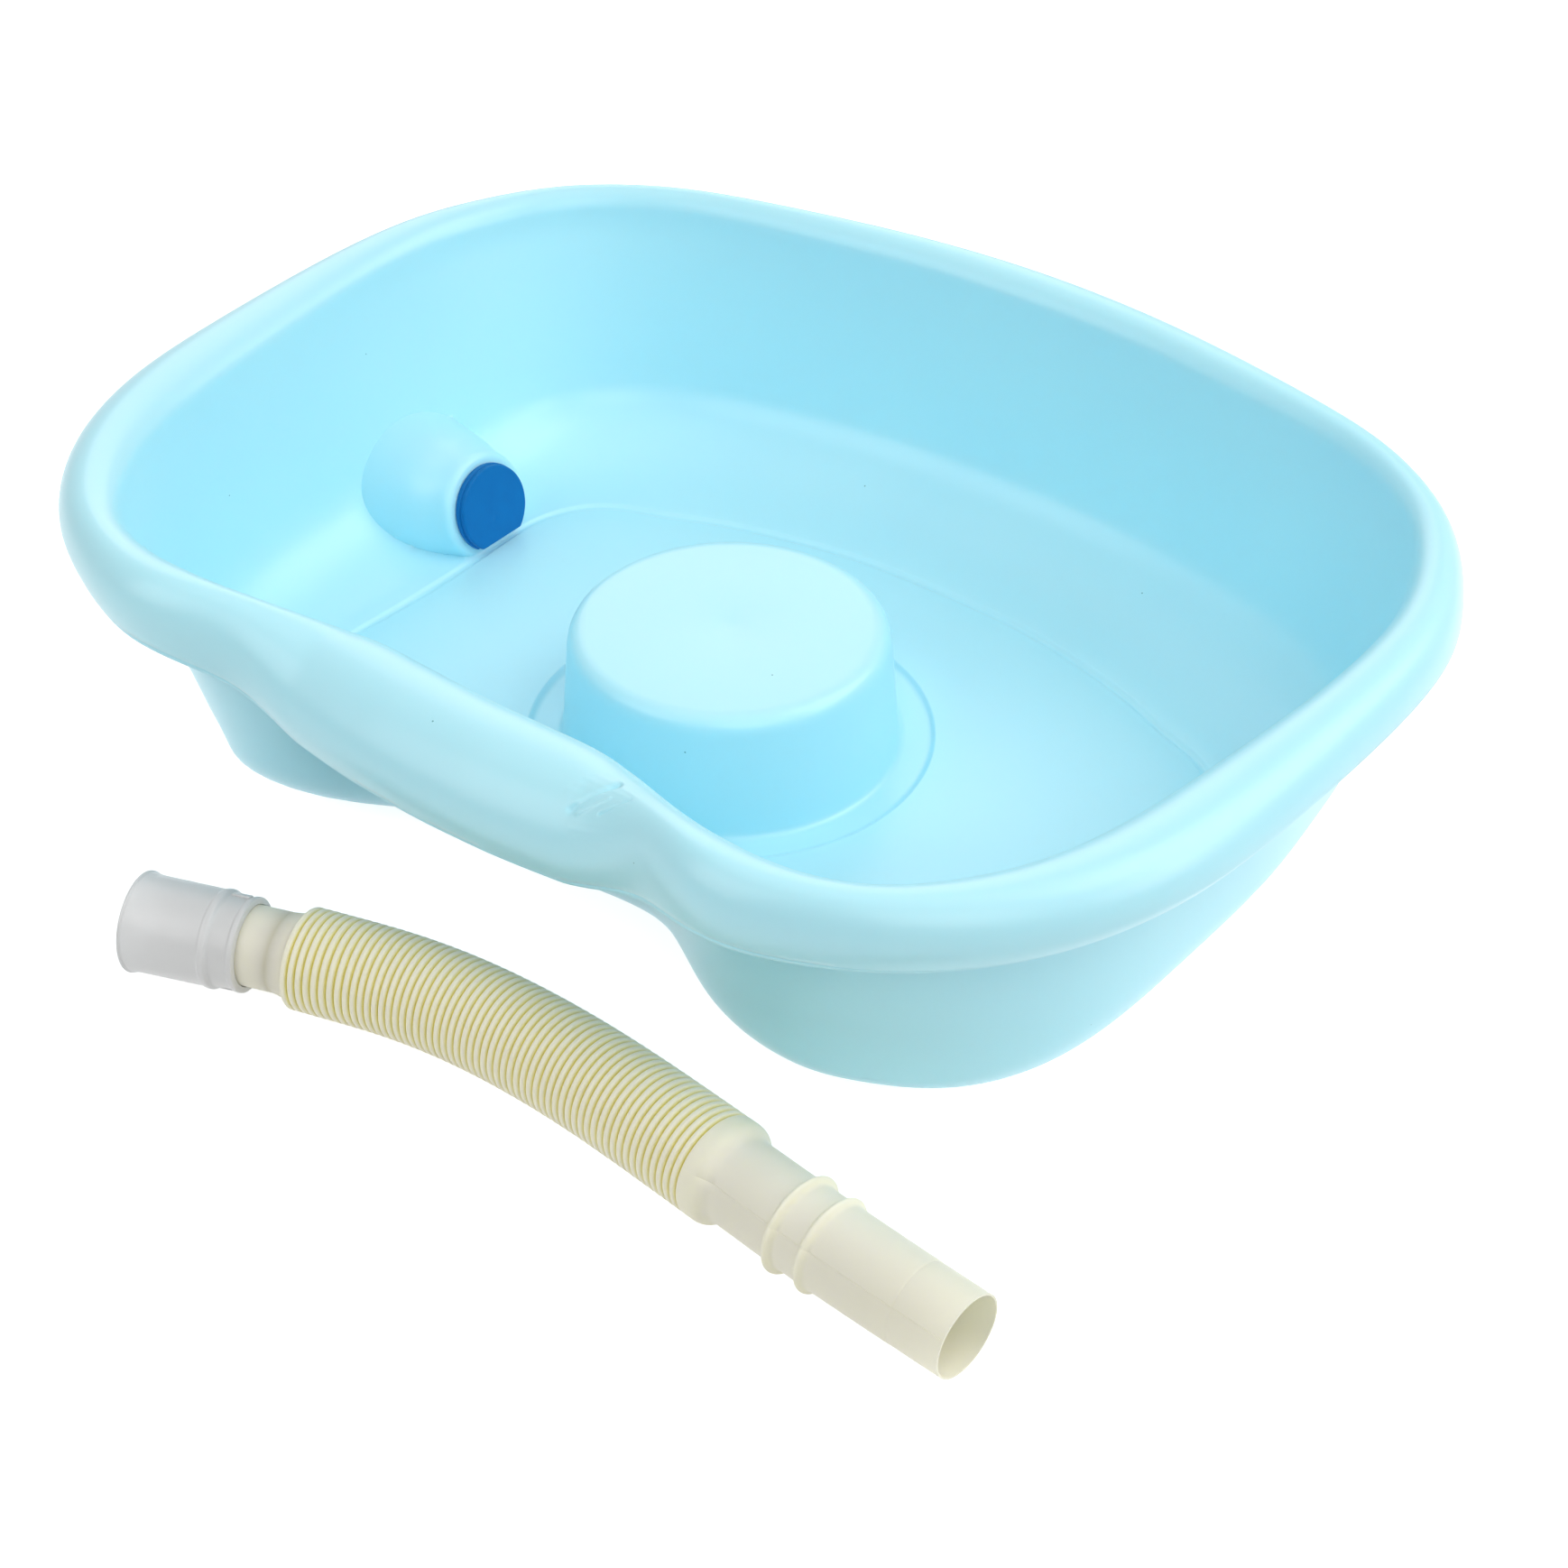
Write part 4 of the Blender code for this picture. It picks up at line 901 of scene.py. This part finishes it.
dull = add_node(stopper_rubber, "ShaderNodeMapRange", [("Value", cloud.outputs["Fac"])])
dull.inputs["To Min"].default_value = 0.38
dull.inputs["To Max"].default_value = 0.55
stopper_rubber.node_tree.links.new(dull.outputs[0], shader.inputs["Roughness"])
grain = add_node(
    stopper_rubber, "ShaderNodeTexNoise", [("Vector", place_on)], Scale=1400, Detail=2, Roughness=0.5
)
bumps = add_node(
    stopper_rubber, "ShaderNodeBump", [("Height", grain.outputs["Fac"])], Strength=0.2, Distance=0.0002
)
stopper_rubber.node_tree.links.new(bumps.outputs["Normal"], shader.inputs["Normal"])
stopper.data.materials.append(stopper_rubber)

# Floor and light. A white sheet on the table, white surroundings, a large soft box at the back right and
# weaker ones above, at the right, in front, at the front left and at the back left.
FLOOR_HALF_SIZE = 6
FLOOR_GAP = 0.0005
SHEET_REACH = 0.55
SHEET_GLOW = 0.75

floor_mesh = bpy.data.meshes.new("white_floor")
floor_bm = bmesh.new()
bmesh.ops.create_grid(floor_bm, x_segments=1, y_segments=1, size=FLOOR_HALF_SIZE)
floor_bm.to_mesh(floor_mesh)
floor_bm.free()
floor = bpy.data.objects.new("white_floor", floor_mesh)
floor.location.z = -FLOOR_GAP
scene.collection.objects.link(floor)

# Matt white paper, which the camera sees as plain white; past the sheet it is darker, so that it throws less
# light on the basin. The basin's shadow shows on it.
paper = bpy.data.materials.new("white_paper")
paper.use_nodes = True
paper.node_tree.nodes.clear()
seen = add_node(paper, "ShaderNodeLightPath")
place_on = add_node(paper, "ShaderNodeTexCoord").outputs["Object"]
reach = add_node(paper, "ShaderNodeVectorMath", [(0, place_on)], operation="LENGTH")
beyond = add_node(
    paper, "ShaderNodeMapRange", [("Value", reach.outputs["Value"])], interpolation_type="SMOOTHSTEP"
)
beyond.inputs["From Min"].default_value = SHEET_REACH
beyond.inputs["From Max"].default_value = SHEET_REACH * 2
tone = add_node(paper, "ShaderNodeMix", [(0, beyond.outputs[0])], data_type="RGBA")
tone.inputs[6].default_value = linear("#F4F4F4")
tone.inputs[7].default_value = linear("#8C8C8C")
plain = add_node(paper, "ShaderNodeBsdfDiffuse", [("Color", tone.outputs[2])])
shine = add_node(paper, "ShaderNodeMapRange", [("Value", beyond.outputs[0])])
shine.inputs["To Min"].default_value = SHEET_GLOW
glow = add_node(paper, "ShaderNodeEmission", [("Strength", shine.outputs[0])], Color=(1, 1, 1, 1))
lit = add_node(paper, "ShaderNodeAddShader", [(0, plain.outputs[0]), (1, glow.outputs[0])])
watched = add_node(
    paper, "ShaderNodeMath", [(0, seen.outputs["Is Camera Ray"]), (1, seen.outputs["Is Glossy Ray"])],
    operation="MAXIMUM",
)
through = add_node(
    paper, "ShaderNodeMath", [(0, watched.outputs[0]), (1, seen.outputs["Is Transmission Ray"])],
    operation="MAXIMUM",
)
chosen = add_node(
    paper, "ShaderNodeMixShader", [(0, through.outputs[0]), (1, plain.outputs[0]), (2, lit.outputs[0])]
)
add_node(paper, "ShaderNodeOutputMaterial", [("Surface", chosen.outputs[0])])
floor_mesh.materials.append(paper)

# White surroundings, which the camera and the gloss see in full; the light itself comes mostly from the soft
# boxes.
FILL_LEVEL = 0.14

world = bpy.data.worlds.new("bright_room")
scene.world = world
world.use_nodes = True
world.node_tree.nodes.clear()
seen = add_node(world, "ShaderNodeLightPath")
watched = add_node(
    world, "ShaderNodeMath", [(0, seen.outputs["Is Camera Ray"]), (1, seen.outputs["Is Glossy Ray"])],
    operation="MAXIMUM",
)
room = add_node(world, "ShaderNodeBackground", Color=(1, 1, 1, 1), Strength=FILL_LEVEL)
backdrop = add_node(world, "ShaderNodeBackground", Color=(1, 1, 1, 1), Strength=1)
chosen = add_node(
    world, "ShaderNodeMixShader", [(0, watched.outputs[0]), (1, room.outputs[0]), (2, backdrop.outputs[0])]
)
add_node(world, "ShaderNodeOutputWorld", [("Surface", chosen.outputs[0])])


def soft_box(name, place, size, power):
    """A square soft box that points at the basin's middle."""
    light = bpy.data.lights.new(name, "AREA")
    light.size = size
    light.energy = power
    lamp = bpy.data.objects.new(name, light)
    lamp.location = place
    lamp.rotation_euler = (Vector((0, 0, 0.05)) - Vector(place)).to_track_quat("-Z", "Y").to_euler()
    scene.collection.objects.link(lamp)


soft_box("key_soft_box", (1.1, 0.9, 1.5), 1.5, 20)
soft_box("top_soft_box", (0, 0, 1.8), 1.6, 6)
soft_box("right_soft_box", (1.5, 0.25, 0.75), 0.6, 3)
soft_box("front_soft_box", (1.2, -1.0, 1.3), 1.2, 8)
soft_box("left_soft_box", (-0.6, -1.3, 1.0), 1.2, 8.5)
soft_box("back_soft_box", (-1.1, 1.1, 1.0), 1.2, 6.5)

scene.view_settings.view_transform = "Standard"
